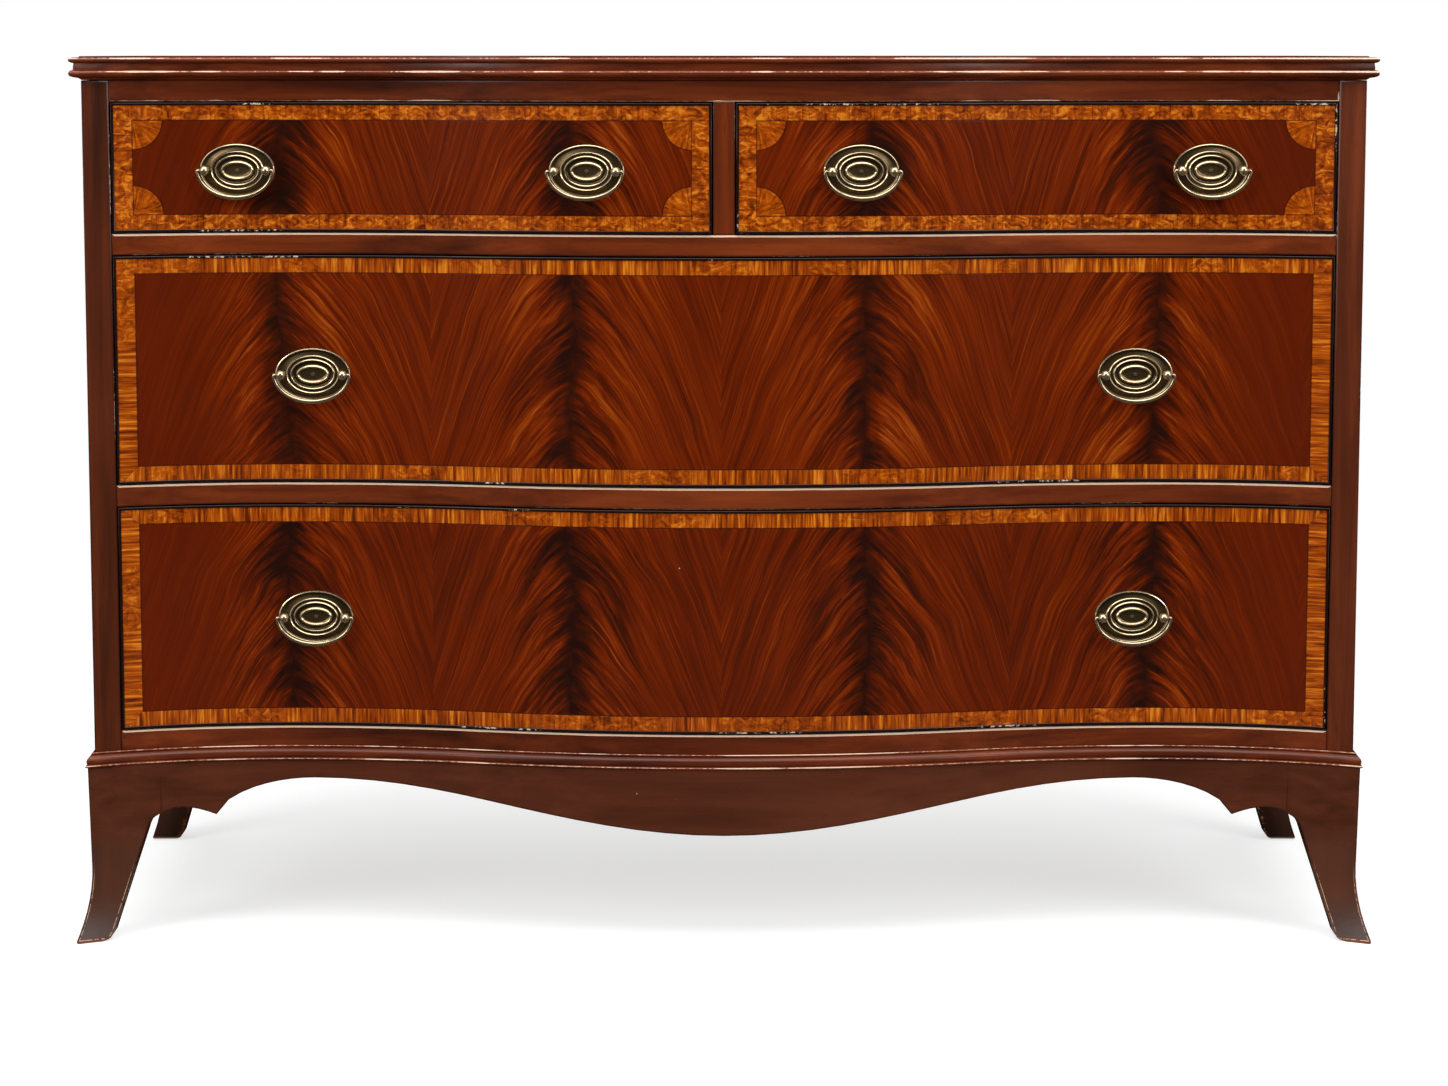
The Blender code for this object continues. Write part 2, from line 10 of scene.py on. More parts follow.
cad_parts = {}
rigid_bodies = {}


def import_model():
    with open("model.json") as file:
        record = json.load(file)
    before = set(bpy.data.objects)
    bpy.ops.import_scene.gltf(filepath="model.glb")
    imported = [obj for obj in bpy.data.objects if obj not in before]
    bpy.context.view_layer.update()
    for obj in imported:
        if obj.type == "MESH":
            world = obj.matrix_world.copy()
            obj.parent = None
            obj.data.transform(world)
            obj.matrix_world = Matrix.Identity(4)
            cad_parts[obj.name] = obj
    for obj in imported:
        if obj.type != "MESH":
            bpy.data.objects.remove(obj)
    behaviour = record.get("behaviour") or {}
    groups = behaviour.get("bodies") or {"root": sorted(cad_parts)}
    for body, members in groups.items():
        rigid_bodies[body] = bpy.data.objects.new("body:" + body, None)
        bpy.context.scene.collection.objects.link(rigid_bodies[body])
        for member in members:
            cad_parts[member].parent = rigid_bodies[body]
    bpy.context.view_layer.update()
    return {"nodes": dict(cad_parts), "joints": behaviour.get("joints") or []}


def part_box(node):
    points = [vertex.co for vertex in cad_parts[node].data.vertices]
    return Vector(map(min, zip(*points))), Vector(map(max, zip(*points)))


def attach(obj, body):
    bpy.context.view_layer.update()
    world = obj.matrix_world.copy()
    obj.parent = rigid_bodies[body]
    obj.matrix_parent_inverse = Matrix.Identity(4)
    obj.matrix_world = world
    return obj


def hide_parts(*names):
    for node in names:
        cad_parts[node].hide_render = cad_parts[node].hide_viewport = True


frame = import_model()
scene = bpy.context.scene
nodes = frame["nodes"]
chestPieces = bpy.data.collections.new("chest_pieces")
scene.collection.children.link(chestPieces)
print("frame loaded:", len(nodes), "nodes")

photoCamera = dict(lens=95.89, sensor=36.0, place=(0.0, -4.168, 0.910), tilt=82.76)


def makeCamera():
    data = bpy.data.cameras.new("photo_camera")
    data.lens = photoCamera["lens"]
    data.sensor_width = photoCamera["sensor"]
    made = bpy.data.objects.new("photo_camera", data)
    made.location = photoCamera["place"]
    made.rotation_euler = (math.radians(photoCamera["tilt"]), 0, 0)
    scene.collection.objects.link(made)
    scene.camera = made


makeCamera()


# The curve that the front follows: a bulge in the middle, a hollow each side, a turn at the corners
front = dict(
    half=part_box("side_right")[1].x,
    corner=-0.255,
    back=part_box("side_right")[1].y,
    bulge=0.015,
    hollow=0.043,
    hollowPlace=0.445,
    hollowRadius=0.750,
)
front["turn"] = 2 * math.atan((front["bulge"] + front["hollow"]) / front["hollowPlace"])
front["bulgeRadius"] = front["hollowPlace"] / math.sin(front["turn"]) - front["hollowRadius"]
front["cornerRun"] = front["half"] - front["hollowPlace"]
front["cornerRadius"] = (front["cornerRun"] ** 2 + front["hollow"] ** 2) / (2 * front["hollow"])


def frontLine(x, grow=0.0):
    across = abs(x)
    if across <= math.sin(front["turn"]) * (front["bulgeRadius"] + grow):
        reach = math.sqrt((front["bulgeRadius"] + grow) ** 2 - across**2)
        return front["corner"] - front["bulge"] + front["bulgeRadius"] - reach
    inHollow = across <= front["hollowPlace"]
    radius = front["hollowRadius"] if inHollow else front["cornerRadius"]
    reach = math.sqrt((radius - grow) ** 2 - (across - front["hollowPlace"]) ** 2)
    return front["corner"] + front["hollow"] - radius + reach


class Wire:  # a socket that can be added, multiplied and so on; each sum is a Math node
    def __init__(self, finish, socket):
        self.finish = finish
        self.socket = socket

    def __add__(self, other):
        return self.finish.sum("ADD", self, other)

    def __sub__(self, other):
        return self.finish.sum("SUBTRACT", self, other)

    def __rsub__(self, other):
        return self.finish.sum("SUBTRACT", other, self)

    def __mul__(self, other):
        return self.finish.sum("MULTIPLY", self, other)

    def __truediv__(self, other):
        return self.finish.sum("DIVIDE", self, other)

    __radd__ = __add__
    __rmul__ = __mul__


class Finish:  # the nodes of one material, or of the world
    def __init__(self, owner):
        owner.use_nodes = True
        self.owner = owner
        self.tree = owner.node_tree
        self.tree.nodes.clear()

    def node(self, kind, settings=None, inputs=None, output=0):
        made = self.tree.nodes.new("ShaderNode" + kind)
        for key, value in (settings or {}).items():
            if key == "stops":
                ramp = made.color_ramp
                while len(ramp.elements) < len(value):
                    ramp.elements.new(1.0)
                for element, (place, colour) in zip(ramp.elements, value):
                    element.position = place
                    element.color = (*colour, 1.0)
            else:
                setattr(made, key, value)
        for key, value in (inputs or {}).items():
            if isinstance(value, Wire):
                self.tree.links.new(value.socket, made.inputs[key])
            else:
                made.inputs[key].default_value = value
        return Wire(self, made.outputs[output]) if made.outputs else made

    def sum(self, operation, *values):
        return self.node("Math", dict(operation=operation), dict(enumerate(values)))

    def place(self):
        return self.node("TexCoord", output="Object")

    def parts(self, vector):
        first = self.node("SeparateXYZ", inputs={0: vector})
        return [Wire(self, socket) for socket in first.socket.node.outputs]

    def join(self, x, y, z):
        return self.node("CombineXYZ", inputs={0: x, 1: y, 2: z})

    def attribute(self, name, output="Fac"):
        return self.node("Attribute", dict(attribute_name=name), output=output)

    def noise(self, vector, scale=1.0, detail=3.0, rough=0.55, twist=0.0):
        inputs = {"Vector": vector, "Scale": scale, "Detail": detail, "Roughness": rough}
        inputs["Distortion"] = twist
        return self.node("TexNoise", inputs=inputs)

    def fibres(self, place, grain, along, across, **settings):  # noise drawn out along the axis of the grain
        scale = [across] * 3
        scale[grain] = along
        stretched = self.node("Mapping", inputs={"Vector": place, "Scale": scale})
        return self.noise(stretched, **settings)

    def layers(self, layers, spot):  # the noises of a veneer, where spot gives the place to read for each
        made = {}
        for name, (fine, long, shift, detail, rough, twist) in layers.items():
            made[name] = self.noise(self.join(*spot(fine, long, shift)), 1.0, detail, rough, twist)
        return made

    def step(self, value, low, high):  # 0 below low, 1 above high, soft between
        settings = dict(interpolation_type="SMOOTHSTEP")
        inputs = {"Value": value, "From Min": low, "From Max": high}
        return self.node("MapRange", settings, inputs)

    def mark(self, value, low, high, share):
        return self.step(value, low, high) * share

    def ramp(self, value, stops):
        return self.node("ValToRGB", dict(stops=stops), {0: value})

    def woodTones(self, value, tones):  # dark, middle and light
        return self.ramp(value, list(zip((0.25, 0.5, 0.8), tones)))

    def blend(self, share, first, second):
        inputs = {0: share, 6: padded(first), 7: padded(second)}
        return self.node("Mix", dict(data_type="RGBA", blend_type="MIX"), inputs, output=2)

    def wearAndHighlight(self, place, rim, spread, limit):  # pale broken lines along the rims: worn edges, and where the rim runs high also painted highlights; and what breaks them
        where = self.step(self.noise(place, spread), *marks["patches"])
        spots = self.noise(place, marks["spots"], 4, marks["spotRough"])
        strength = rim * (where * 0.5 + 0.5) + (spots - 0.5) * marks["speckle"]
        return self.step(strength, limit, limit + marks["soft"]), spots

    def chips(self, place, scale, size):  # small round chips in a few of the cells
        inputs = {"Vector": place, "Scale": scale}
        near = self.node("TexVoronoi", None, inputs)
        pick = self.node("TexVoronoi", None, inputs, output="Color")
        chosen = self.step(self.parts(pick)[0], *marks["chipped"])
        return (1 - self.step(near, size * 0.6, size)) * chosen

    def bump(self, height, distance, strength):
        inputs = {"Height": height, "Distance": distance, "Strength": strength}
        return self.node("Bump", inputs=inputs)

    def shade(self, colour, roughness, normal=None, **constants):
        shader = self.node("BsdfPrincipled", inputs={"Base Color": padded(colour), "Roughness": roughness})
        made = shader.socket.node
        if normal:
            self.tree.links.new(normal.socket, made.inputs["Normal"])
        for key, value in constants.items():
            made.inputs[key.replace("_", " ")].default_value = value
        self.node("OutputMaterial", inputs={"Surface": shader})
        return made


def padded(colour):
    return (*colour, 1.0) if isinstance(colour, tuple) else colour


def tone(red, green, blue):  # a colour as it looks on screen, 0 to 255
    return tuple(((part / 255 + 0.055) / 1.055) ** 2.4 for part in (red, green, blue))


def newFinish(name):
    return Finish(bpy.data.materials.new(name))


# Marks of use on every wood: the patches, spots and softness of worn edges, and the cells that are chipped
marks = dict(
    patches=(0.50, 0.60),
    spots=230.0,
    spotRough=0.62,
    speckle=0.9,
    soft=0.1,
    chipped=(0.88, 0.90),
    chip=tone(226, 205, 178),
)

# The case's mahogany. A pair is where a mark begins and where it is full, a share is how much of it shows,
# and a mark is all three
caseWood = dict(
    case=(tone(54, 21, 9), tone(96, 38, 14), tone(136, 60, 22)),
    # rail is a lighter copy of the case tones, painted light on the upper rail and the muntin; the top rail
    # keeps the darker case tones as painted shade under the top
    railLit=(tone(62, 24, 9), tone(108, 44, 15), tone(150, 68, 25)),
    upright=(tone(50, 22, 11), tone(90, 38, 16), tone(126, 58, 26)),
    # base and leg: paler, greyer tones for the aprons and feet, from dust and a painted sheen
    base=(tone(62, 29, 16), tone(84, 40, 22), tone(100, 51, 30)),
    legDustAndSheen=tone(84, 54, 40),
    toe=tone(40, 33, 27),
    # worn is the pale colour of worn edges, and also of the painted highlights on the crests of the top and
    # the moulding and along the rails' edges
    worn=tone(236, 202, 174),
    rubbed=tone(150, 72, 34),
    # grime darkens a band inside every edge, and on the top rail's upper edge it is a painted shadow under
    # the top
    grimeAndShadow=tone(22, 11, 8),
    fibre=dict(along=3.0, across=70.0, detail=5, rough=0.6, twist=0.4),
    patch=dict(along=2.0, across=9.0, detail=3, rough=0.5, twist=0.6),
    pores=dict(along=40.0, across=620.0, detail=2),
    cloud=0.75,
    contrast=1.45,
    darker=0.22,
    poreMark=(0.56, 0.75, 0.35),
    wearSpread=9.0,
    wornFrom=0.87,
    wornShare=0.9,
    baseWornFrom=0.98,
    legPair=(0.085, 0.125),
    legShare=0.45,
    toePair=(0.012, 0.055),
    toeShare=0.55,
    solePair=(0.002, 0.006),
    traceRim=0.14,
    tracePair=(0.08, 0.13),
    traceSpots=(0.42, 0.50),
    traceTop=(0.050, 0.085),
    traceShare=0.8,
    grimeAndShadowMark=(0.10, 0.75, 0.4),
    rubbedMark=(0.85, 1.10, 0.6),
    rubbedPatch=1.6,
    rubbedSpots=0.8,
    chipScale=34.0,
    chipSize=0.022,
    chipShare=0.85,
    roughness=0.20,
    relief=0.0006,
)


def makeCaseFinish(name, grain, tones, cloud=caseWood["cloud"]):  # grain is the axis of the fibres
    look = caseWood
    finish = newFinish(name)
    place = finish.place()
    fibre = finish.fibres(place, grain, **look["fibre"])
    patch = finish.fibres(place, grain, **look["patch"])
    pores = finish.fibres(place, grain, **look["pores"])
    rim = handled = finish.attribute("rim")
    isBase = tones is look["base"]
    if isBase:  # upright fibres in the legs, and rubbed soles
        height = finish.parts(place)[2]
        upper = finish.step(height, *look["legPair"])
        upright = finish.fibres(place, 2, **look["fibre"])
        fibre = fibre * upper + upright * (1 - upper)
        handled = finish.sum("MAXIMUM", rim, 1 - finish.step(height, *look["solePair"]))
    tint = fibre * (look["contrast"] - cloud) + patch * cloud - look["darker"]
    colour = finish.woodTones(tint, tones)
    colour = finish.blend(finish.mark(pores, *look["poreMark"]), colour, tones[0])
    worn, spots = finish.wearAndHighlight(place, rim, look["wearSpread"], look["baseWornFrom" if isBase else "wornFrom"])
    if isBase:  # greyer legs, from dust and a painted sheen, and darker toes
        colour = finish.blend((1 - upper) * look["legShare"], colour, look["legDustAndSheen"])
        toe = (1 - finish.step(height, *look["toePair"])) * look["toeShare"]
        colour = finish.blend(toe, colour, look["toe"])
    if isBase and grain == 0:  # a thin pale line inside the edges of the front toes
        trace = 1 - finish.step(finish.sum("ABSOLUTE", rim - look["traceRim"]), *look["tracePair"])
        trace = trace * finish.step(spots, *look["traceSpots"]) * look["traceShare"]
        trace = trace * (1 - finish.step(height, *look["traceTop"]))
        worn = finish.sum("MAXIMUM", worn, trace)
    # dark grime along the edges, which on the top rail's upper edge is painted shadow
    colour = finish.blend(finish.mark(rim, *look["grimeAndShadowMark"]), colour, look["grimeAndShadow"])
    rubbed = handled + (patch - 0.5) * look["rubbedPatch"] + (spots - 0.5) * look["rubbedSpots"]
    colour = finish.blend(finish.mark(rubbed, *look["rubbedMark"]), colour, look["rubbed"])
    colour = finish.blend(worn * look["wornShare"], colour, look["worn"])
    chips = finish.chips(place, look["chipScale"], look["chipSize"]) * look["chipShare"]
    colour = finish.blend(chips, colour, marks["chip"])
    roughness = look["roughness"] + patch * 0.14 + worn * 0.2
    height = fibre * 0.25 + pores * 0.3 + spots * 0.4 - worn * 0.35
    finish.shade(colour, roughness, finish.bump(height, look["relief"], 0.3), Specular_IOR_Level=0.28)
    return finish.owner


# The drawers' veneer: leaves of flame mahogany, each with a dark stripe down its middle, in a crossbanding
flame = dict(
    spacing=0.2975,
    middle=-0.003,
    slope=0.55,
    tip=0.005,
    curl=9.5,
    sway=0.05,
    bend=0.03,
    ragged=0.045,
    smallNarrower=0.45,
    layers=dict(  # fineness across and down the strands, shift, detail, roughness and twist
        ragged=(26, 75, 0, 3, 0.60, 0.0),
        broad=(9, 40, 0, 2, 0.50, 0.0),
        tongue=(30, 170, 2, 2, 0.50, 0.4),
        fine=(14, 190, 4, 4, 0.66, 0.0),
        hair=(22, 620, 9, 2, 0.60, 0.0),
        thread=(30, 340, 6, 3, 0.55, 0.7),
        strand=(12, 125, 12, 2, 0.60, 0.2),
    ),
    zones=dict(  # the distances from a stripe's middle between which each part of the figure sets in
        figure=(0.0, 0.007),
        lively=(0.003, 0.014),
        livelyEnd=(0.040, 0.100),
        glow=(0.014, 0.045),
        glowEnd=(0.060, 0.140),
        beyond=(0.045, 0.090),
    ),
    quiet=(0.47, 0.56),
    shares=dict(  # how much of each shows, and how much of that is lost where the ends are quiet
        lively=(1.0, 0.7),
        glow=(0.09, 0.09),
        broad=(1.0, 0.6),
        fine=(0.70, 0.45),
        hair=(0.42, 0.20),
        strand=(0.13, 0.08),
        # painted shade darkening the lowest drawer, as the light falls off downwards
        lowestShade=(0.05, 0.05),
    ),
    core=(0.002, 0.026),
    heart=(-0.004, 0.007),
    tonguePair=(0.44, 0.57),
    strandPair=(0.60, 0.68),
    lowestDrawer=(0.41, 0.45),
    middleTone=0.43,
    coreShare=0.22,
    heartShare=0.12,
    tongueShare=0.18,
    threadShare=0.20,
    smallShade=0.02,
    bandSide=0.0205,
    bandLevel=0.0178,
    fan=0.0295,
    soft=0.0002,
    stringPair=(0.0002, 0.0008),
    fanPair=(0.0003, 0.0008),
    mitrePair=(0.0001, 0.0006),
    stringShare=0.8,
    mitreShare=0.6,
    bandMiddle=0.53,
    bandContrast=2.2,
    smallContrast=0.6,
    wideShare=0.8,
    darkMark=(0.56, 0.66, 0.2),
    burlMark=(0.50, 0.60, 0.75),
    smallBurl=0.8,
    fanMiddle=0.50,
    fanContrast=2.3,
    bandLayers=dict(  # fineness across and along the bars, shift, detail, roughness and twist
        bars=(300, 18, 2, 3, 0.60, 0.4),
        wide=(70, 8, 5, 2, 0.55, 0.0),
        dark=(460, 26, 8, 2, 0.50, 0.0),
    ),
    burl=dict(along=115, across=80, detail=4, rough=0.6, twist=1.7),
    stops=[
        (0.05, tone(36, 14, 8)),
        (0.26, tone(64, 20, 4)),
        (0.44, tone(93, 27, 1)),
        (0.60, tone(117, 38, 1)),
        (0.78, tone(143, 60, 8)),
        (1.00, tone(176, 92, 30)),
    ],
    bandStops=[
        (0.12, tone(88, 32, 1)),
        (0.38, tone(138, 56, 2)),
        (0.60, tone(169, 76, 5)),
        (0.88, tone(214, 124, 28)),
    ],
    string=tone(44, 18, 8),
    chipScale=22.0,
    chipSize=0.018,
    chipShare=0.7,
    roughness=0.24,
    relief=0.0004,
)


def makeFlameFinish():
    look = flame
    finish = newFinish("flame_veneer")
    place = finish.place()
    x, _, z = finish.parts(place)
    small = finish.attribute("small")

    # Leaves of veneer, each the mirror of its neighbour, with a dark stripe down its middle
    run = (x - look["middle"]) / look["spacing"]
    leaf = finish.sum("FLOOR", run)
    side = 1 - 2 * finish.sum("FLOORED_MODULO", leaf, 2.0)
    inLeaf = (run - leaf - 0.5) * 2
    held = 1 - inLeaf * inLeaf
    sway = finish.noise(finish.join(x * 3, leaf * 5.1, z * 5), 1.0, 2)
    across = inLeaf * side * (look["spacing"] / 2) + (sway - 0.5) * held * look["sway"]
    away = finish.sum("ABSOLUTE", across)
    seed = leaf * 0.37 + finish.sum("SIGN", across) * 1.3 + z * 6 + 3.1
    bend = finish.noise(finish.join(across * 9, seed, z * 9), 1.0, 2)
    drop = finish.sum("SQRT", away * away + look["tip"] ** 2) * look["slope"]
    fall = z + drop + away * away * look["curl"] + (bend - 0.5) * look["bend"]

    def strandSpot(fine, long, shift):
        return across * fine, seed + shift, fall * long

    layer = finish.layers(look["layers"], strandSpot)
    zone = {name: finish.step(away, *ends) for name, ends in look["zones"].items()}

    # The stripe is ragged and darkest at its heart, tongues and threads leave it, and the ends are quiet
    quiet = finish.step(finish.sum("ABSOLUTE", x), *look["quiet"])
    edge = (away + (layer["ragged"] - 0.5) * look["ragged"]) * (1 - small * look["smallNarrower"])
    core = 1 - finish.step(edge, *look["core"])
    heart = 1 - finish.step(edge, *look["heart"])
    shown = {name: share - quiet * loss for name, (share, loss) in look["shares"].items()}
    lively = zone["lively"] * (1 - zone["livelyEnd"]) * shown["lively"]
    tongues = (finish.step(layer["tongue"], *look["tonguePair"]) - 0.5) * lively
    threads = finish.step(layer["thread"], *look["strandPair"]) * lively
    strands = finish.step(layer["strand"], *look["strandPair"]) * zone["beyond"] * shown["strand"]
    figure = (layer["broad"] - 0.5) * shown["broad"] * (0.8 - zone["beyond"] * 0.45)
    figure = figure + (layer["fine"] - 0.5) * shown["fine"] + (layer["hair"] - 0.5) * shown["hair"]
    figure = figure + tongues * look["tongueShare"] + threads * look["threadShare"] + strands
    figure = figure * (zone["figure"] * 0.8 + 0.2)
    glow = zone["glow"] * (1 - zone["glowEnd"] * 0.5) * shown["glow"]
    # Painted shade: the lowest drawer's leaves are darker, as the light falls off downwards
    lowestShade = (1 - finish.step(z, *look["lowestDrawer"])) * shown["lowestShade"]
    value = look["middleTone"] + glow + figure - core * look["coreShare"] - heart * look["heartShare"]
    value = value - lowestShade - small * look["smallShade"]
    colour = finish.ramp(value, look["stops"])

    # Distances from the drawer's own edges lay out the crossbanding and the corner fans
    lowX, _, lowZ = finish.parts(finish.attribute("fromLow", "Vector"))
    highX, _, highZ = finish.parts(finish.attribute("fromHigh", "Vector"))
    pastSide = finish.sum("MINIMUM", lowX, highX) - look["bandSide"]
    pastLevel = finish.sum("MINIMUM", lowZ, highZ) - look["bandLevel"]
    past = finish.sum("MINIMUM", pastSide, pastLevel)
    band = 1 - finish.step(past, -look["soft"], look["soft"])
    upright = finish.sum("LESS_THAN", pastSide, pastLevel)
    along = x + (z - x) * upright
    over = z + (x - z) * upright

    def barSpot(fine, long, shift):
        return along * fine, over * long, shift

    bar = finish.layers(look["bandLayers"], barSpot)
    burl = finish.fibres(place, 2, **look["burl"])
    burlPatch = finish.mark(finish.noise(place, 13.0, 1), *look["burlMark"])
    burlShare = finish.sum("MAXIMUM", burlPatch, small * look["smallBurl"])
    figured = bar["bars"] * (1 - burlShare) + burl * burlShare
    bandValue = (figured - 0.5) * (look["bandContrast"] + small * look["smallContrast"])
    bandValue = bandValue + (bar["wide"] - 0.5) * look["wideShare"] + look["bandMiddle"]
    # the same painted shade on the lowest drawer's band
    bandValue = bandValue - finish.mark(bar["dark"], *look["darkMark"]) - lowestShade
    bandColour = finish.ramp(bandValue, look["bandStops"])

    reach = finish.sum("SQRT", pastSide * pastSide + pastLevel * pastLevel)
    inFan = (1 - finish.step(reach, look["fan"] - look["soft"], look["fan"] + look["soft"])) * small
    angle = finish.sum("ARCTAN2", pastLevel, pastSide)
    rays = finish.noise(finish.join(angle * 9, reach * 70, 1.0), 1.0, 3, 0.6, 0.5)
    fanValue = (rays * 0.55 + burl * 0.45 - 0.5) * look["fanContrast"] + look["fanMiddle"]
    colour = finish.blend(inFan, colour, finish.ramp(fanValue, look["bandStops"]))

    # Dark strings round the fans, between the band and the field, and on the band's mitres
    fanLine = finish.sum("ABSOLUTE", reach - look["fan"])
    fanLine = (1 - finish.step(fanLine, *look["fanPair"])) * small
    colour = finish.blend(fanLine * look["stringShare"], colour, look["string"])
    colour = finish.blend(band, colour, bandColour)
    string = 1 - finish.step(finish.sum("ABSOLUTE", past), *look["stringPair"])
    corner = finish.sum("ABSOLUTE", pastSide - pastLevel)
    mitre = (1 - finish.step(corner, *look["mitrePair"])) * band * look["mitreShare"]
    colour = finish.blend(finish.sum("MAXIMUM", string * look["stringShare"], mitre), colour, look["string"])

    chips = finish.chips(place, look["chipScale"], look["chipSize"]) * look["chipShare"]
    colour = finish.blend(chips, colour, marks["chip"])
    roughness = look["roughness"] + (finish.noise(place, 16.0) - 0.5) * 0.14 + band * 0.04
    height = layer["hair"] * 0.3 + layer["fine"] * 0.25 + band * burl * 0.3 - string * 0.8
    finish.shade(colour, roughness, finish.bump(height, look["relief"], 0.25), Specular_IOR_Level=0.16)
    return finish.owner


beadTones = dict(
    base=tone(20, 10, 7),
    rub=tone(56, 27, 16),
    worn=tone(222, 196, 170),
    wearSpread=6.0,
    wornFrom=1.0,
    roughness=0.18,
    relief=0.0004,
)


def makeBeadFinish():
    look = beadTones
    finish = newFinish("bead_mahogany")
    place = finish.place()
    worn, spots = finish.wearAndHighlight(place, finish.attribute("rim"), look["wearSpread"], look["wornFrom"])
    patches = finish.noise(place, 30.0, 5, 0.65)
    colour = finish.blend(patches * 0.5, look["base"], look["rub"])
    # the bead's pale worn crests are partly painted highlights along it
    colour = finish.blend(worn * 0.85, colour, look["worn"])
    normal = finish.bump(patches + spots * 0.4, look["relief"], 0.3)
    finish.shade(colour, look["roughness"] + worn * 0.25, normal, Specular_IOR_Level=0.35)
    return finish.owner


boardTones = dict(
    drawer=(tone(118, 78, 44), tone(164, 116, 70), tone(190, 146, 98)),
    inner=(tone(92, 62, 38), tone(132, 94, 60), tone(156, 118, 80)),
    warp=dict(along=1.6, across=46.0, detail=4, rough=0.55, twist=0.8),
    pores=dict(along=22.0, across=520.0, detail=2),
    rings=5,
    poreMark=(0.55, 0.75, 0.3),
    roughness=0.62,
    relief=0.0006,
)


def makeBoardFinish(name, tones, grain):  # plain secondary wood, unfinished
    look = boardTones
    finish = newFinish(name)
    place = finish.place()
    warp = finish.fibres(place, grain, **look["warp"])
    pores = finish.fibres(place, grain, **look["pores"])
    rings = finish.sum("PINGPONG", warp * look["rings"], 1.0)
    stain = finish.noise(place, 7.0, 4, 0.6)
    colour = finish.woodTones(rings * 0.35 + warp * 0.3 + stain * 0.4, tones)
    colour = finish.blend(finish.mark(pores, *look["poreMark"]), colour, tones[0])
    normal = finish.bump(pores * 0.5 + rings * 0.3, look["relief"], 0.4)
    finish.shade(colour, look["roughness"] + (stain - 0.5) * 0.2, normal)
    return finish.owner


brassTones = dict(
    recess=tone(84, 66, 42),
    field=tone(128, 106, 72),
    crest=tone(208, 187, 150),
    tarnish=tone(52, 40, 26),
    cloudScale=60.0,
    cloudShare=0.12,
    gritScale=420.0,
    dirtPair=(0.78, 0.98),
    dirtShare=0.7,
    relief=0.0002,
)


def makeBrassFinish(name, crestShare, recess, rough):  # recess is the colour where nothing rubs
    look = brassTones
    finish = newFinish(name)
    place = finish.place()
    crest = finish.attribute("rim")
    cloud = finish.noise(place, look["cloudScale"], 4, 0.6)
    grit = finish.noise(place, look["gritScale"], 3, 0.6)
    height = crest * crestShare + (cloud - 0.5) * look["cloudShare"]
    colour = finish.ramp(height, [(0.0, recess), (0.4, look["field"]), (0.85, look["crest"])])
    dirt = finish.step(grit + cloud * 0.5, *look["dirtPair"]) * finish.sum("MAXIMUM", 1 - crest * 1.4, 0.0)
    colour = finish.blend(dirt * look["dirtShare"], colour, look["tarnish"])
    roughness = rough + (cloud - 0.5) * 0.08 + (1 - crest) * 0.1 + dirt * 0.15
    finish.shade(colour, roughness, finish.bump(grit + cloud, look["relief"], 0.04), Metallic=0.85)
    return finish.owner


caseAcross = makeCaseFinish("case_mahogany_across", 0, caseWood["case"])
topAcross = makeCaseFinish("top_mahogany_across", 0, caseWood["case"], 0.35)
# the upper rail and the muntin take the lighter tones: painted light
railLitAcross = makeCaseFinish("rail_mahogany_lit_across", 0, caseWood["railLit"])
railLitUpright = makeCaseFinish("rail_mahogany_lit_upright", 2, caseWood["railLit"])
caseUpright = makeCaseFinish("case_mahogany_upright", 2, caseWood["upright"])
baseAcross = makeCaseFinish("base_mahogany_across", 0, caseWood["base"])
baseDeep = makeCaseFinish("base_mahogany_deep", 1, caseWood["base"])
flameVeneer = makeFlameFinish()
beadWood = makeBeadFinish()
drawerAlong = makeBoardFinish("drawer_board_across", boardTones["drawer"], 0)
drawerDeep = makeBoardFinish("drawer_board_deep", boardTones["drawer"], 1)
innerAlong = makeBoardFinish("inner_board_across", boardTones["inner"], 0)
innerDeep = makeBoardFinish("inner_board_deep", boardTones["inner"], 1)
plateBrass = makeBrassFinish("plate_brass", 0.85, brassTones["recess"], 0.2)
bailBrass = makeBrassFinish("bail_brass", 0.75, brassTones["field"], 0.18)
print("finishes made:", len(bpy.data.materials))


sharpAngle = math.radians(40)  # faces that turn by more than this meet in an edge, and by less in a curve


def makePiece(name, shape, finishes, slot, body, *replaced):
    for layer in list(shape.verts.layers.int.values()):  # helpers that a finished mesh has no use for
        shape.verts.layers.int.remove(layer)
    bmesh.ops.recalc_face_normals(shape, faces=shape.faces)
    mesh = bpy.data.meshes.new(name)
    shape.to_mesh(mesh)
    shape.free()
    mesh.shade_smooth()
    mesh.set_sharp_from_angle(angle=sharpAngle)
    made = bpy.data.objects.new(name, mesh)
    chestPieces.objects.link(made)
    for finish in finishes:
        mesh.materials.append(finish)
    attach(made, body)
    if replaced:
        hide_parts(*replaced)
    return made


# Rounded and rubbed edges of the boards. A rim of 1 is worn as edges commonly are, and more is paler, a
# painted highlight over the wear
boardEdge = dict(
    rub=0.0024,
    round=0.0008,
    toe=0.0038,
    toeCuts=(0.06, 0.16, 0.30, 0.48, 0.70, 1.00),
    merge=0.00002,
    flat=math.radians(0.8),
    gap=0.0003,
    seamReach=0.0006,
    nearSeam=0.001,
    near=0.0001,
    frontDepth=0.0005,
    railEnd=0.003,
    # the rails' upper front edges: worn, and brightened further into a painted highlight
    rubbedHighlightRim=10.0,
    # painted shadow under the top's lower bead, darkening the top rail's upper edge through the grime mark
    upperRim=0.6,
    lowerRim=2.0,
)
rubbedHighlitRails = ("upper_rail", "middle_rail", "bottom_rail")  # the drawers above rub their upper front edges, and a painted highlight lies along them

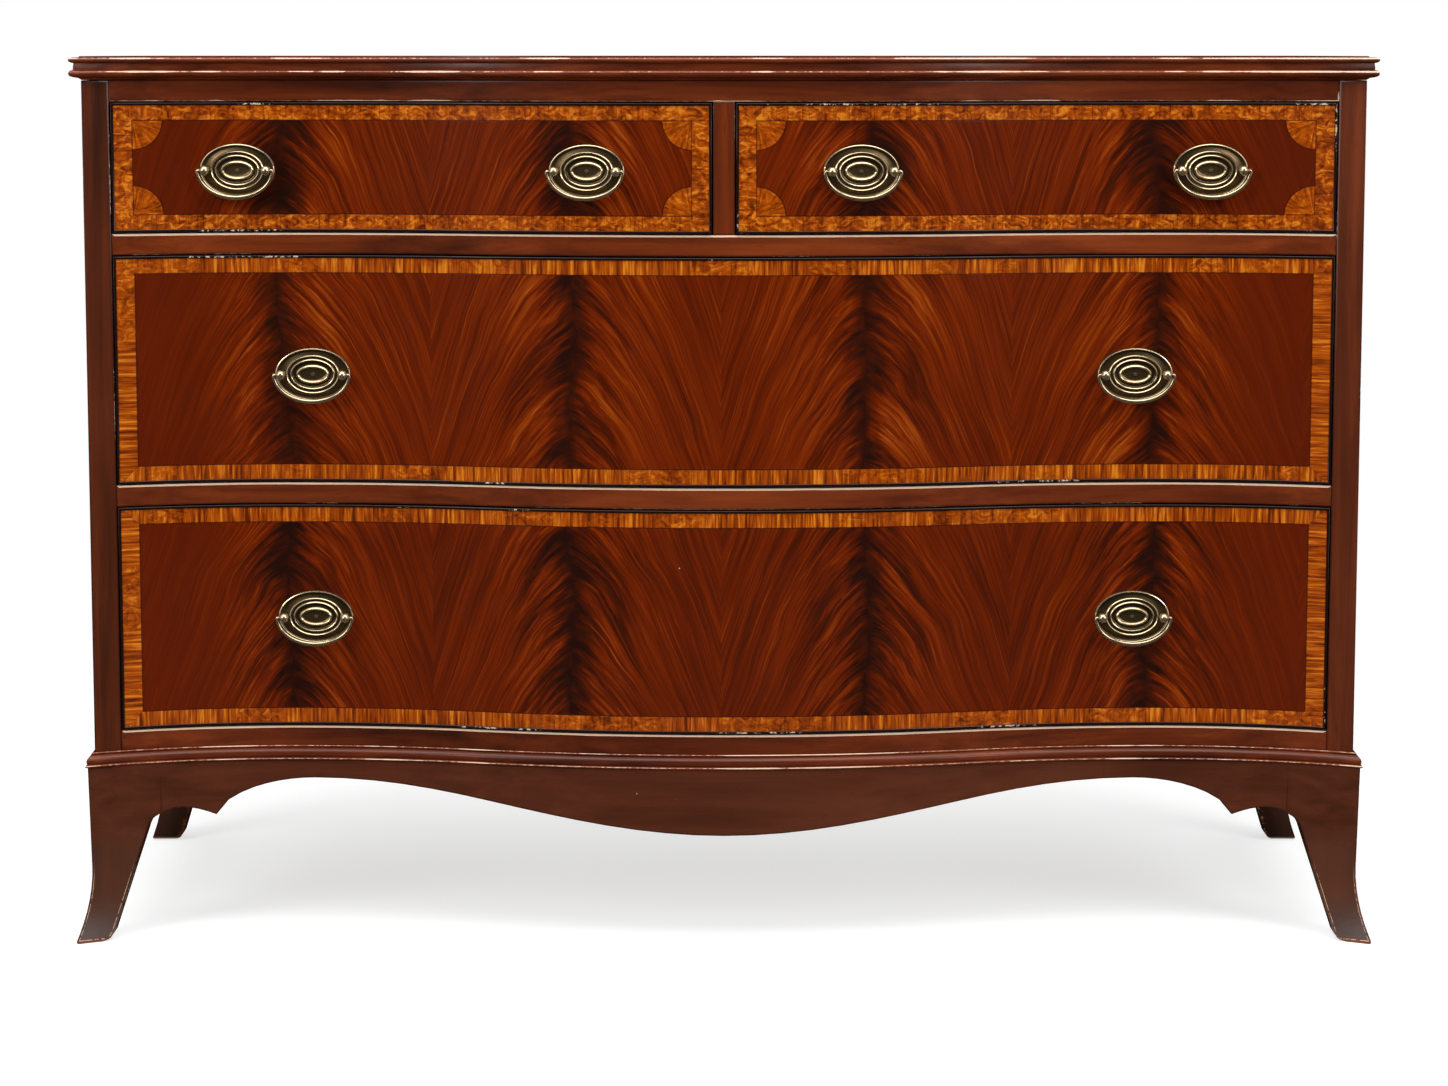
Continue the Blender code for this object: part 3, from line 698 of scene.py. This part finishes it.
# The upright joints of the aprons with the feet: the axis across each, its place and the apron's side
seams = [(0, end.x, 1 - 2 * side) for side, end in enumerate(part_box("apron_front"))]
seams += [(1, end.y, 1 - 2 * side) for side, end in enumerate(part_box("apron_left"))]


def closeSeams(shape):  # the dressed boards meet without the gap that the boards beneath them have
    for vert in shape.verts:
        for axis, place, side in seams:
            if abs(vert.co[axis] - place) < boardEdge["seamReach"]:
                vert.co[axis] = place - boardEdge["gap"] / 2 * side


def onSeam(*verts):  # whether all of them lie in the same seam
    near = boardEdge["nearSeam"]
    return any(all(abs(vert.co[axis] - place) < near for vert in verts) for axis, place, _ in seams)


def staysSquare(edge):  # the flush joints of the aprons with the feet, and of the feet with the moulding
    low, high = sorted(vert.co.z for vert in edge.verts)
    near = boardEdge["nearSeam"]
    return onSeam(*edge.verts) or (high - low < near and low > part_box("apron_front")[1].z - near)


def cutAcross(shape, axis, places):
    normal = Vector(axis == index for index in range(3))
    for place in places:
        every = shape.verts[:] + shape.edges[:] + shape.faces[:]
        bmesh.ops.bisect_plane(shape, geom=every, dist=0.00001, plane_co=normal * place, plane_no=normal)


def roundToe(shape):  # draws the lowest part of a foot in along a quarter round
    radius = boardEdge["toe"]
    cutAcross(shape, 2, [radius * share for share in boardEdge["toeCuts"]])
    sole = [vert.co.copy() for vert in shape.verts if vert.co.z < boardEdge["near"]]
    for axis in (0, 1):
        low, high = (end(spot[axis] for spot in sole) for end in (min, max))
        middle, half = (low + high) / 2, (high - low) / 2
        for vert in shape.verts:
            drop = min(radius, radius - vert.co.z)
            if drop > 0:
                inward = radius - math.sqrt(radius**2 - drop**2)
                vert.co[axis] = middle + (vert.co[axis] - middle) * (1 - inward / half)
    shape.normal_update()


def roundOff(shape, edges, offset, segments):
    bmesh.ops.bevel(
        shape,
        geom=edges,
        offset=offset,
        segments=segments,
        affect="EDGES",
        profile=0.5,
        material=-1,
        clamp_overlap=True,
    )
    shape.normal_update()


def smoothRegions(shape):  # groups of faces that meet without a sharp edge
    left = dict.fromkeys(shape.faces)
    regions = []
    while left:
        region = [left.popitem()[0]]
        for face in region:
            for edge in face.edges:
                if edge.calc_face_angle(math.pi) < sharpAngle:
                    for other in edge.link_faces:
                        if other in left:
                            del left[other]
                            region.append(other)
        regions.append(region)
    return regions


def dressBoard(name, finish):  # a copy of a case board with rounded edges, and a strip along each for wear, painted highlights and painted shadow
    isFoot = name.startswith("foot")
    isBase = isFoot or name.startswith("apron")
    near = boardEdge["near"]
    shape = bmesh.new()
    shape.from_mesh(nodes[name].data)
    bmesh.ops.remove_doubles(shape, verts=shape.verts, dist=boardEdge["merge"])
    bmesh.ops.dissolve_limit(shape, angle_limit=boardEdge["flat"], verts=shape.verts, edges=shape.edges)
    shape.normal_update()
    if isBase:
        closeSeams(shape)
    rim = shape.verts.layers.float.new("rim")
    for region in smoothRegions(shape):
        bmesh.ops.inset_region(shape, faces=region, thickness=boardEdge["rub"], use_even_offset=True)
    shape.normal_update()
    if isFoot:
        roundToe(shape)
    rubbedHighlitEnd = -1.0  # the other boards have no such stretch
    if name in rubbedHighlitRails:
        rubbedHighlitEnd = max(vert.co.x for vert in shape.verts) - boardEdge["railEnd"]
        cutAcross(shape, 0, (-rubbedHighlitEnd, rubbedHighlitEnd))
    shape.normal_update()
    edges = [edge for edge in shape.edges if edge.calc_face_angle(0) > sharpAngle]
    if isBase:
        edges = [edge for edge in edges if not staysSquare(edge)]
    for vert in shape.verts:
        vert[rim] = 0.0
    for edge in edges:
        for vert in edge.verts:
            vert[rim] = 0.0 if isBase and onSeam(vert) else 1.0
    low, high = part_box(name)
    for vert in shape.verts:
        inFront = vert.co.y < frontLine(vert.co.x, -boardEdge["frontDepth"])
        onTop = vert.co.z > high.z - near
        if onTop and inFront and abs(vert.co.x) < rubbedHighlitEnd + near:
            vert[rim] = boardEdge["rubbedHighlightRim"]
        elif name == "top_rail" and onTop:
            vert[rim] = boardEdge["upperRim"]
        elif name == "top_rail" and inFront and vert.co.z < low.z + near:
            vert[rim] = boardEdge["lowerRim"]
        elif isFoot and vert.co.z < boardEdge["toe"]:
            vert[rim] = max(vert[rim], 1 - vert.co.z / boardEdge["toe"])
    roundOff(shape, edges, boardEdge["round"], 2)
    for vert in shape.verts:  # the soles stay flat on the floor
        vert.co.z = max(vert.co.z, 0.0)
    return makePiece(name + "_dressed", shape, [finish], "case_wood", "case", name)


dressed = {
    caseAcross: ("top_rail", "middle_rail", "bottom_rail"),
    railLitAcross: ("upper_rail",),
    railLitUpright: ("centre_muntin",),
    caseUpright: ("stile_left", "stile_right", "side_left", "side_right"),
    baseAcross: ("apron_front", "foot_front_left", "foot_front_right"),
    baseDeep: ("apron_left", "apron_right", "foot_rear_left", "foot_rear_right"),
}
for finish, names in dressed.items():
    for name in names:
        dressBoard(name, finish)
print("case boards dressed")


def drawnOut(shape, edges):  # the edges and vertices that an extrusion of the edges adds
    grown = bmesh.ops.extrude_edge_only(shape, edges=edges)["geom"]
    kinds = (bmesh.types.BMEdge, bmesh.types.BMVert)
    return [[part for part in grown if isinstance(part, kind)] for kind in kinds]


endSteps = 4  # parts of each straight end of the case that a moulding runs along


def roundedLine(rows, between):  # a soft line through the rows, but sharp at their corners
    made = []
    for index in range(len(rows) - 1):
        start, end = Vector(rows[index][:3]), Vector(rows[index + 1][:3])
        before = start if rows[index][3] else Vector(rows[index - 1][:3])
        after = end if rows[index + 1][3] else Vector(rows[index + 2][:3])
        for step in range(between):
            t = step / between
            slope0, slope1 = (end - before) / 2, (after - start) / 2
            made.append(
                start * (2 * t**3 - 3 * t**2 + 1)
                + slope0 * (t**3 - 2 * t**2 + t)
                + end * (3 * t**2 - 2 * t**3)
                + slope1 * (t**3 - t**2)
            )
    made.append(Vector(rows[-1][:3]))
    return made


def alongCase(run, grow, z):  # run is -2 at the left back corner, -1 and 1 at the front ones, 2 at the right
    half = front["half"] + grow
    if abs(run) <= 1:
        return (half * run, frontLine(half * run, grow), z)
    corner = frontLine(half, grow)
    return (math.copysign(half, run), corner + (front["back"] - corner) * (abs(run) - 1), z)


def sweepCase(profile, steps, closed):  # a moulding run round the left end, the front and the right end
    shape = bmesh.new()
    row = shape.verts.layers.int.new("row")
    rim = shape.verts.layers.float.new("rim")
    runs = [-2 + step / endSteps for step in range(endSteps)]
    runs += [2 * step / steps - 1 for step in range(steps + 1)]
    runs += [1 + (step + 1) / endSteps for step in range(endSteps)]
    verts = []
    for index, (out, up, wearAndHighlight) in enumerate(profile):
        vert = shape.verts.new(alongCase(runs[0], out, up))
        vert[row] = index
        vert[rim] = wearAndHighlight
        verts.append(vert)
    edges = [shape.edges.new(pair) for pair in zip(verts, verts[1:])]
    if closed:
        edges.append(shape.edges.new((verts[-1], verts[0])))
    rings = [verts]
    for run in runs[1:]:
        edges, verts = drawnOut(shape, edges)
        verts.sort(key=lambda vert: vert[row])
        for vert in verts:
            out, up, _ = profile[vert[row]]
            vert.co = alongCase(run, out, up)
        rings.append(verts)
    return shape, rings


topEdge = dict(
    steps=170,
    between=4,
    border=0.004,
    rows=[  # out, up, wear and painted highlight, and 1 at a corner
        (0.0010, 0.9070, 0.5, 1),
        (0.0012, 0.9058, 0.2, 1),
        (0.0072, 0.9056, 0.1, 0),
        # the crests of both beads, at 1.75, carry a thin painted highlight over their wear
        (0.0089, 0.9048, 1.75, 0),
        (0.0099, 0.9032, 0.1, 0),
        (0.0094, 0.9014, 0.1, 0),
        (0.0074, 0.9003, 0.0, 1),
        (0.0056, 0.8998, 0.0, 1),
        (0.0060, 0.8975, 0.0, 0),
        (0.0062, 0.8950, 0.0, 0),
        (0.0062, 0.8930, 0.0, 1),
        (0.0080, 0.8926, 0.1, 0),
        (0.0094, 0.8914, 1.75, 0),
        (0.0100, 0.8896, 0.1, 0),
        (0.0094, 0.8876, 0.1, 0),
        (0.0072, 0.8862, 0.1, 0),
        (0.0020, 0.8850, 0.0, 1),
        (-0.0008, 0.8830, 0.0, 1),
    ],
)


def makeTop():
    shape, rings = sweepCase(roundedLine(topEdge["rows"], topEdge["between"]), topEdge["steps"], False)
    for index in (0, -1):
        line = [ring[index] for ring in rings]
        edges = [shape.edges.get(pair) for pair in zip(line, line[1:])]
        edges.append(shape.edges.new((line[-1], line[0])))
        bmesh.ops.edgeloop_fill(shape, edges=edges)
    bmesh.ops.holes_fill(shape, edges=[edge for edge in shape.edges if edge.is_boundary], sides=0)
    shape.normal_update()
    top = max(shape.faces, key=lambda face: face.calc_center_median().z)
    bmesh.ops.inset_individual(shape, faces=[top], thickness=topEdge["border"])
    rim = shape.verts.layers.float["rim"]
    for vert in top.verts:
        vert[rim] = 0.0
    return makePiece("top_board_moulded", shape, [topAcross], "case_wood", "case", "top_board")


baseMoulding = dict(
    steps=170,
    between=4,
    rows=[  # as for the top
        (0.0003, 0.1960, 0.2, 1),
        (0.0018, 0.1960, 0.3, 1),
        # the top fillet, at 1.9, carries a painted highlight over its wear
        (0.0025, 0.1955, 1.9, 0),
        (0.0028, 0.1946, 0.1, 0),
        (0.0026, 0.1938, 0.0, 1),
        (0.0020, 0.1934, 0.0, 1),
        (0.0036, 0.1927, 0.1, 0),
        (0.0055, 0.1912, 0.2, 0),
        (0.0067, 0.1892, 0.3, 0),
        (0.0070, 0.1870, 0.2, 0),
        (0.0066, 0.1850, 0.0, 1),
        (0.0058, 0.1843, 0.0, 1),
        (0.0072, 0.1837, 0.1, 0),
        # the lower bead, at 1.9, carries a painted highlight over its wear
        (0.0082, 0.1828, 1.9, 0),
        (0.0080, 0.1817, 0.1, 0),
        (0.0072, 0.1810, 0.1, 1),
        (0.0003, 0.1810, 0.0, 1),
    ],
)


def makeBaseMoulding():
    profile = roundedLine(baseMoulding["rows"], baseMoulding["between"])
    shape, _ = sweepCase(profile, baseMoulding["steps"], True)
    bmesh.ops.holes_fill(shape, edges=[edge for edge in shape.edges if edge.is_boundary], sides=0)
    return makePiece("base_moulding_run", shape, [caseAcross], "case_wood", "case", "base_moulding")


makeTop()
makeBaseMoulding()
print("top and base moulding run round the case")


facing = dict(
    proud=0.0007,
    sunk=0.0006,
    spread=0.00015,
    bead=0.0028,
    beadRise=0.0011,
    beadRound=0.0008,
    support=0.0008,
    reach=0.008,
    near=0.0001,
    longEdge=0.1,  # only the edges along a drawer are longer
    tallField=0.06,  # only the faces between its upper and lower bead are taller
)


def makeFacing(drawer):  # a veneered face with the bead round it, made flat and then bent to the curve
    low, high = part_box(drawer + "_front")
    spread = facing["spread"]
    lowX, highX = low.x - spread, high.x + spread
    lowZ, highZ = low.z - spread, high.z + spread
    shape = bmesh.new()
    bmesh.ops.create_cube(shape, size=1)
    depth = facing["proud"] + facing["sunk"]
    bmesh.ops.scale(shape, vec=(highX - lowX, depth, highZ - lowZ), verts=shape.verts)
    middle = ((lowX + highX) / 2, facing["sunk"] - depth / 2, (lowZ + highZ) / 2)
    bmesh.ops.translate(shape, vec=middle, verts=shape.verts)
    long = [edge for edge in shape.edges if abs(edge.verts[0].co.x - edge.verts[1].co.x) > facing["longEdge"]]
    cuts = round((highX - lowX) / facing["reach"])
    bmesh.ops.subdivide_edges(shape, edges=long, cuts=cuts, use_grid_fill=True)
    shape.normal_update()
    face = [part for part in shape.faces if part.normal.y < -0.9]
    rim = bmesh.ops.inset_region(shape, faces=face, thickness=facing["bead"], use_even_offset=True)["faces"]
    raised = bmesh.ops.extrude_face_region(shape, geom=rim)["geom"]
    crest = [part for part in raised if isinstance(part, bmesh.types.BMVert)]
    bmesh.ops.translate(shape, vec=(0, -facing["beadRise"], 0), verts=crest)
    bmesh.ops.delete(shape, geom=[part for part in rim if part.is_valid], context="FACES")
    shape.normal_update()
    atCrest = set(crest)
    edges = [edge for edge in shape.edges if atCrest.issuperset(edge.verts) and edge.calc_face_angle(0) > 1]
    roundOff(shape, edges, facing["beadRound"], 3)
    cellArea = facing["reach"] * facing["tallField"]
    field = [part for part in shape.faces if part.normal.y < -0.99 and part.calc_area() > cellArea]
    bmesh.ops.inset_region(shape, faces=field, thickness=facing["support"], use_even_offset=True)
    shape.normal_update()
    rimLayer = shape.verts.layers.float.new("rim")
    smallLayer = shape.verts.layers.float.new("small")
    lowLayer = shape.verts.layers.float_vector.new("fromLow")
    highLayer = shape.verts.layers.float_vector.new("fromHigh")
    for part in shape.faces:
        centre = part.calc_center_median()
        inward = min(centre.x - lowX, highX - centre.x, centre.z - lowZ, highZ - centre.z)
        onFace = part.normal.y < -0.9 and centre.y > -facing["proud"] - facing["near"]
        part.material_index = 0 if onFace and inward > facing["bead"] + facing["near"] else 1
    for vert in shape.verts:
        vert[rimLayer] = min(1.0, max(0.0, (-facing["proud"] - vert.co.y) / facing["beadRise"]))
        vert[smallLayer] = 1.0 if drawer.startswith("top") else 0.0
        vert[lowLayer] = (vert.co.x - lowX, 0, vert.co.z - lowZ)
        vert[highLayer] = (highX - vert.co.x, 0, highZ - vert.co.z)
        vert.co.y = frontLine(vert.co.x, -vert.co.y)
    return makePiece(drawer + "_facing", shape, [flameVeneer, beadWood], "drawer_fronts", drawer)


drawers = ("top_left_drawer", "top_right_drawer", "middle_drawer", "lower_drawer")
for drawer in drawers:
    makeFacing(drawer)
print("drawer facings made")


# The stamped plate's rings from its rim inwards: shares of its half width and half height,
# how far each stands out, and how bright rubbing has kept it
plate = dict(
    halfWidth=0.039,
    halfHeight=0.0272,
    back=0.0125,
    boring=0.03175,
    ball=0.0049,
    post=0.0030,
    collar=0.0040,
    collarFoot=0.0046,
    collarLength=0.0022,
    postSunk=0.001,
    ballBright=0.95,
    postBright=0.5,
    around=96,
    rings=[
        (1.000, 1.000, 0.0000, 0.5),
        (0.997, 0.996, 0.0010, 0.8),
        (0.984, 0.979, 0.0020, 1.0),
        (0.966, 0.955, 0.0023, 1.0),
        (0.948, 0.931, 0.0017, 0.6),
        (0.935, 0.913, 0.0008, 0.0),
        (0.915, 0.888, 0.0005, -0.2),
        (0.840, 0.830, 0.0009, 0.05),
        (0.760, 0.775, 0.0012, 0.15),
        (0.722, 0.740, 0.0015, 0.2),
        (0.706, 0.722, 0.0023, 0.8),
        (0.685, 0.700, 0.0028, 1.0),
        (0.664, 0.675, 0.0024, 0.8),
        (0.645, 0.650, 0.0014, 0.1),
        (0.612, 0.605, 0.0013, 0.0),
        (0.592, 0.575, 0.0022, 0.7),
        (0.570, 0.545, 0.0028, 1.0),
        (0.548, 0.518, 0.0024, 0.8),
        (0.532, 0.498, 0.0010, 0.0),
        (0.505, 0.465, 0.0003, -0.3),
        (0.470, 0.410, 0.0003, -0.3),
        (0.448, 0.375, 0.0012, 0.2),
        (0.425, 0.340, 0.0024, 0.8),
        (0.400, 0.305, 0.0029, 1.0),
        (0.372, 0.270, 0.0025, 0.8),
        (0.350, 0.245, 0.0016, 0.2),
        (0.300, 0.205, 0.0013, 0.15),
        (0.180, 0.130, 0.0012, 0.25),
        (0.060, 0.075, 0.0012, 0.2),
        (0.046, 0.058, 0.0020, 0.7),
    ],
)


def hubOf(joint):  # where a pull hangs: its hinge axis, turned as the front is there
    tangent = -Vector(joint["axis"])
    return Matrix.Translation(joint["pos_m"]) @ Matrix.Rotation(math.atan2(tangent.y, tangent.x), 4, "Z")


def makePlate(name, drawer, hub):
    shape = bmesh.new()
    rim = shape.verts.layers.float.new("rim")
    wide, tall, rise, bright = plate["rings"][0]
    circle = bmesh.ops.create_circle(shape, segments=plate["around"], radius=1)["verts"]
    bmesh.ops.rotate(shape, cent=(0, 0, 0), matrix=Matrix.Rotation(math.pi / 2, 3, "X"), verts=circle)
    bmesh.ops.scale(shape, vec=(plate["halfWidth"], 1, plate["halfHeight"]), verts=circle)
    bmesh.ops.translate(shape, vec=(0, plate["back"], 0), verts=circle)
    bmesh.ops.contextual_create(shape, geom=circle)
    for vert in circle:
        vert[rim] = bright
    edges = list(shape.edges)
    for nextWide, nextTall, nextRise, bright in plate["rings"][1:]:
        edges, verts = drawnOut(shape, edges)
        bmesh.ops.scale(shape, vec=(nextWide / wide, 1, nextTall / tall), verts=verts)
        bmesh.ops.translate(shape, vec=(0, rise - nextRise, 0), verts=verts)
        for vert in verts:
            vert[rim] = bright
        wide, tall, rise = nextWide, nextTall, nextRise
    bmesh.ops.contextual_create(shape, geom=verts)
    postLength = plate["back"] - plate["postSunk"]
    stems = [  # the post and its collar: how far behind the ball, length, radius behind and in front, sides
        (postLength / 2, postLength, plate["post"], plate["post"], 20),
        (plate["ball"], plate["collarLength"], plate["collarFoot"], plate["collar"], 24),
    ]
    for side in (-1, 1):
        at = Matrix.Translation((side * plate["boring"], 0, 0))
        ball = bmesh.ops.create_uvsphere(shape, u_segments=24, v_segments=16, radius=plate["ball"], matrix=at)
        for vert in ball["verts"]:
            vert[rim] = plate["ballBright"]
        for behind, length, backRadius, frontRadius, sides in stems:
            stand = Matrix.Translation((0, behind, 0)) @ at @ Matrix.Rotation(math.pi / 2, 4, "X")
            sizes = dict(segments=sides, radius1=backRadius, radius2=frontRadius, depth=length)
            stem = bmesh.ops.create_cone(shape, cap_ends=True, matrix=stand, **sizes)
            for vert in stem["verts"]:
                vert[rim] = plate["postBright"]
    bmesh.ops.transform(shape, matrix=hub, verts=shape.verts)
    return makePiece(name + "_plate_rings", shape, [plateBrass], "brass_plate", drawer, name + "_plate")


bail = dict(
    reach=0.0385,
    drop=0.0273,
    pin=0.0014,
    knob=0.0020,
    end=0.0017,
    grip=0.0024,
    sides=14,
    steps=22,
    start=0.14,
    dim=0.65,
    ends=[  # across, down and which radius, from inside the ball to where the curve starts
        (0.0330, 0.0, "pin"),
        (0.0366, 0.0, "pin"),
        (0.0370, 0.0, "knob"),
        (0.0386, -0.0002, "knob"),
        (0.0392, -0.0014, "end"),
    ],
)


def bailLine():  # the right half of a hanging bail: across, down and its radius
    line = [(across, down, bail[radius]) for across, down, radius in bail["ends"]]
    for step in range(bail["steps"] + 1):
        turn = math.pi / 2 * (bail["start"] + (1 - bail["start"]) * step / bail["steps"])
        radius = bail["end"] + (bail["grip"] - bail["end"]) * math.sin(turn) ** 2
        line.append((bail["reach"] * math.cos(turn), -bail["drop"] * math.sin(turn), radius))
    return line


def makeBail(name, hub):
    half = bailLine()
    line = half + [(-across, down, radius) for across, down, radius in half[-2::-1]]
    shape = bmesh.new()
    rim = shape.verts.layers.float.new("rim")
    for index, (across, down, radius) in enumerate(line):
        ahead = line[min(index + 1, len(line) - 1)]
        behind = line[max(index - 1, 0)]
        turn = math.atan2(ahead[1] - behind[1], ahead[0] - behind[0])
        station = Matrix.Translation((across, 0, down)) @ Matrix.Rotation(math.pi / 2 - turn, 4, "Y")
        station = station @ Matrix.Diagonal((radius, radius, radius, 1))
        if index == 0:
            verts = bmesh.ops.create_circle(shape, segments=bail["sides"], radius=1)["verts"]
            bmesh.ops.transform(shape, matrix=station, verts=verts)
            bmesh.ops.contextual_create(shape, geom=verts)
            edges = list(shape.edges)
        else:
            edges, verts = drawnOut(shape, edges)
            bmesh.ops.transform(shape, matrix=station @ before.inverted(), verts=verts)
        before = station
        for vert in verts:
            vert[rim] = bail["dim"] + (1 - bail["dim"]) * min(1.0, radius / bail["grip"])
    bmesh.ops.contextual_create(shape, geom=verts)
    bmesh.ops.transform(shape, matrix=hub, verts=shape.verts)
    return makePiece(name + "_bail_drop", shape, [bailBrass], "brass_bail", name + "_bail", name + "_bail")


for joint in frame["joints"]:
    if joint["type"] == "hinge":
        pull = joint["child"].removesuffix("_bail")
        hub = hubOf(joint)
        makePlate(pull, joint["parent"], hub)
        makeBail(pull, hub)
print("pulls made")


def finishNode(name, finish):
    data = nodes[name].data
    if not data.materials:
        data.materials.append(finish)
    for slot in nodes[name].material_slots:
        slot.material = finish


boxFinishes = {
    caseAcross: ("front",),
    drawerAlong: ("back", "bottom"),
    drawerDeep: ("side_left", "side_right"),
}
for drawer in drawers:
    for finish, parts in boxFinishes.items():
        for part in parts:
            finishNode(f"{drawer}_{part}", finish)
for name in ("back_panel", "bottom_board", "upper_dust_board", "middle_dust_board"):
    finishNode(name, innerAlong)
finishNode("centre_partition", innerDeep)
print("inner boards finished")


studio = dict(
    ambient=0.35,
    floorColour=0.58,
    floorGlow=0.66,
    floorSize=(12, 12),
    fade=(1.1, 2.4),  # distances from the chest between which the floor turns to plain white
    roughness=0.9,
    cardColour=tone(24, 22, 21),
    cards=[  # centre, half width, half depth, turn about X: dark cards that only reflections see
        ((0.0, -5.4, 2.0), 6.0, 3.4, 90.0),
        ((0.0, -1.5, 0.004), 6.0, 3.9, 0.0),
        ((0.0, 2.4, 2.0), 6.0, 3.4, 90.0),
    ],
    lamps=[
        ("overhead", (0.0, -0.95, 2.9), (0.0, -0.2, 0.3), 3.4, 2.3, 84.0),
        ("front_left", (-3.3, -3.5, 2.4), (0.0, -0.2, 0.45), 1.8, 1.6, 65.0),
        ("front_right", (3.3, -3.5, 2.4), (0.0, -0.2, 0.45), 1.8, 1.6, 65.0),
    ],
)


def seenDirectly(finish):  # 1 for what the camera sees, also by a mirror or through glass
    names = ("Is Camera Ray", "Is Glossy Ray", "Is Transmission Ray")
    camera, glossy, through = (finish.node("LightPath", output=name) for name in names)
    return finish.sum("MINIMUM", camera + glossy + through, 1.0)


def makeSheet(name, stand, finish):  # a flat sheet of the studio
    shape = bmesh.new()
    bmesh.ops.create_grid(shape, x_segments=1, y_segments=1, size=1)
    bmesh.ops.transform(shape, matrix=stand, verts=shape.verts)
    mesh = bpy.data.meshes.new(name)
    shape.to_mesh(mesh)
    shape.free()
    mesh.materials.append(finish.owner)
    made = bpy.data.objects.new(name, mesh)
    scene.collection.objects.link(made)
    return made


def makeStudio():
    world = bpy.data.worlds.new("studio_world")
    scene.world = world
    finish = Finish(world)
    seen = seenDirectly(finish)
    strength = seen + (1 - seen) * studio["ambient"]
    sky = finish.node("Background", inputs={"Color": (1, 1, 1, 1), "Strength": strength})
    finish.node("OutputWorld", inputs={"Surface": sky})

    finish = newFinish("studio_floor")
    makeSheet("studio_floor", Matrix.Diagonal((*studio["floorSize"], 1, 1)), finish)
    x, y, _ = finish.parts(finish.place())
    away = finish.sum("SQRT", x * x + y * y)
    fade = finish.step(away, *studio["fade"])
    near = studio["floorColour"]
    colour = finish.blend(fade, (near, near, near), (0.0, 0.0, 0.0))
    seen = seenDirectly(finish)
    level = (studio["floorGlow"] + fade * (1 - studio["floorGlow"])) * seen
    glow = finish.join(level, level, level)
    shader = finish.shade(colour, studio["roughness"], Specular_IOR_Level=0.0, Emission_Strength=1.0)
    finish.tree.links.new(glow.socket, shader.inputs["Emission Color"])

    card = newFinish("dark_card")
    card.shade(studio["cardColour"], studio["roughness"], Specular_IOR_Level=0.0)
    for index, (place, width, depth, turn) in enumerate(studio["cards"]):
        stand = Matrix.Translation(place) @ Matrix.Rotation(math.radians(turn), 4, "X")
        made = makeSheet(f"dark_card_{index}", stand @ Matrix.Diagonal((width, depth, 1, 1)), card)
        for ray in ("camera", "diffuse", "transmission", "shadow", "volume_scatter"):
            setattr(made, "visible_" + ray, False)

    for name, place, aim, width, height, power in studio["lamps"]:
        data = bpy.data.lights.new(name, "AREA")
        data.shape = "RECTANGLE"
        data.size = width
        data.size_y = height
        data.energy = power
        made = bpy.data.objects.new(name, data)
        made.location = place
        made.rotation_euler = (Vector(aim) - Vector(place)).to_track_quat("-Z", "Y").to_euler()
        scene.collection.objects.link(made)


makeStudio()
scene.view_settings.view_transform = "Standard"
print("studio set")
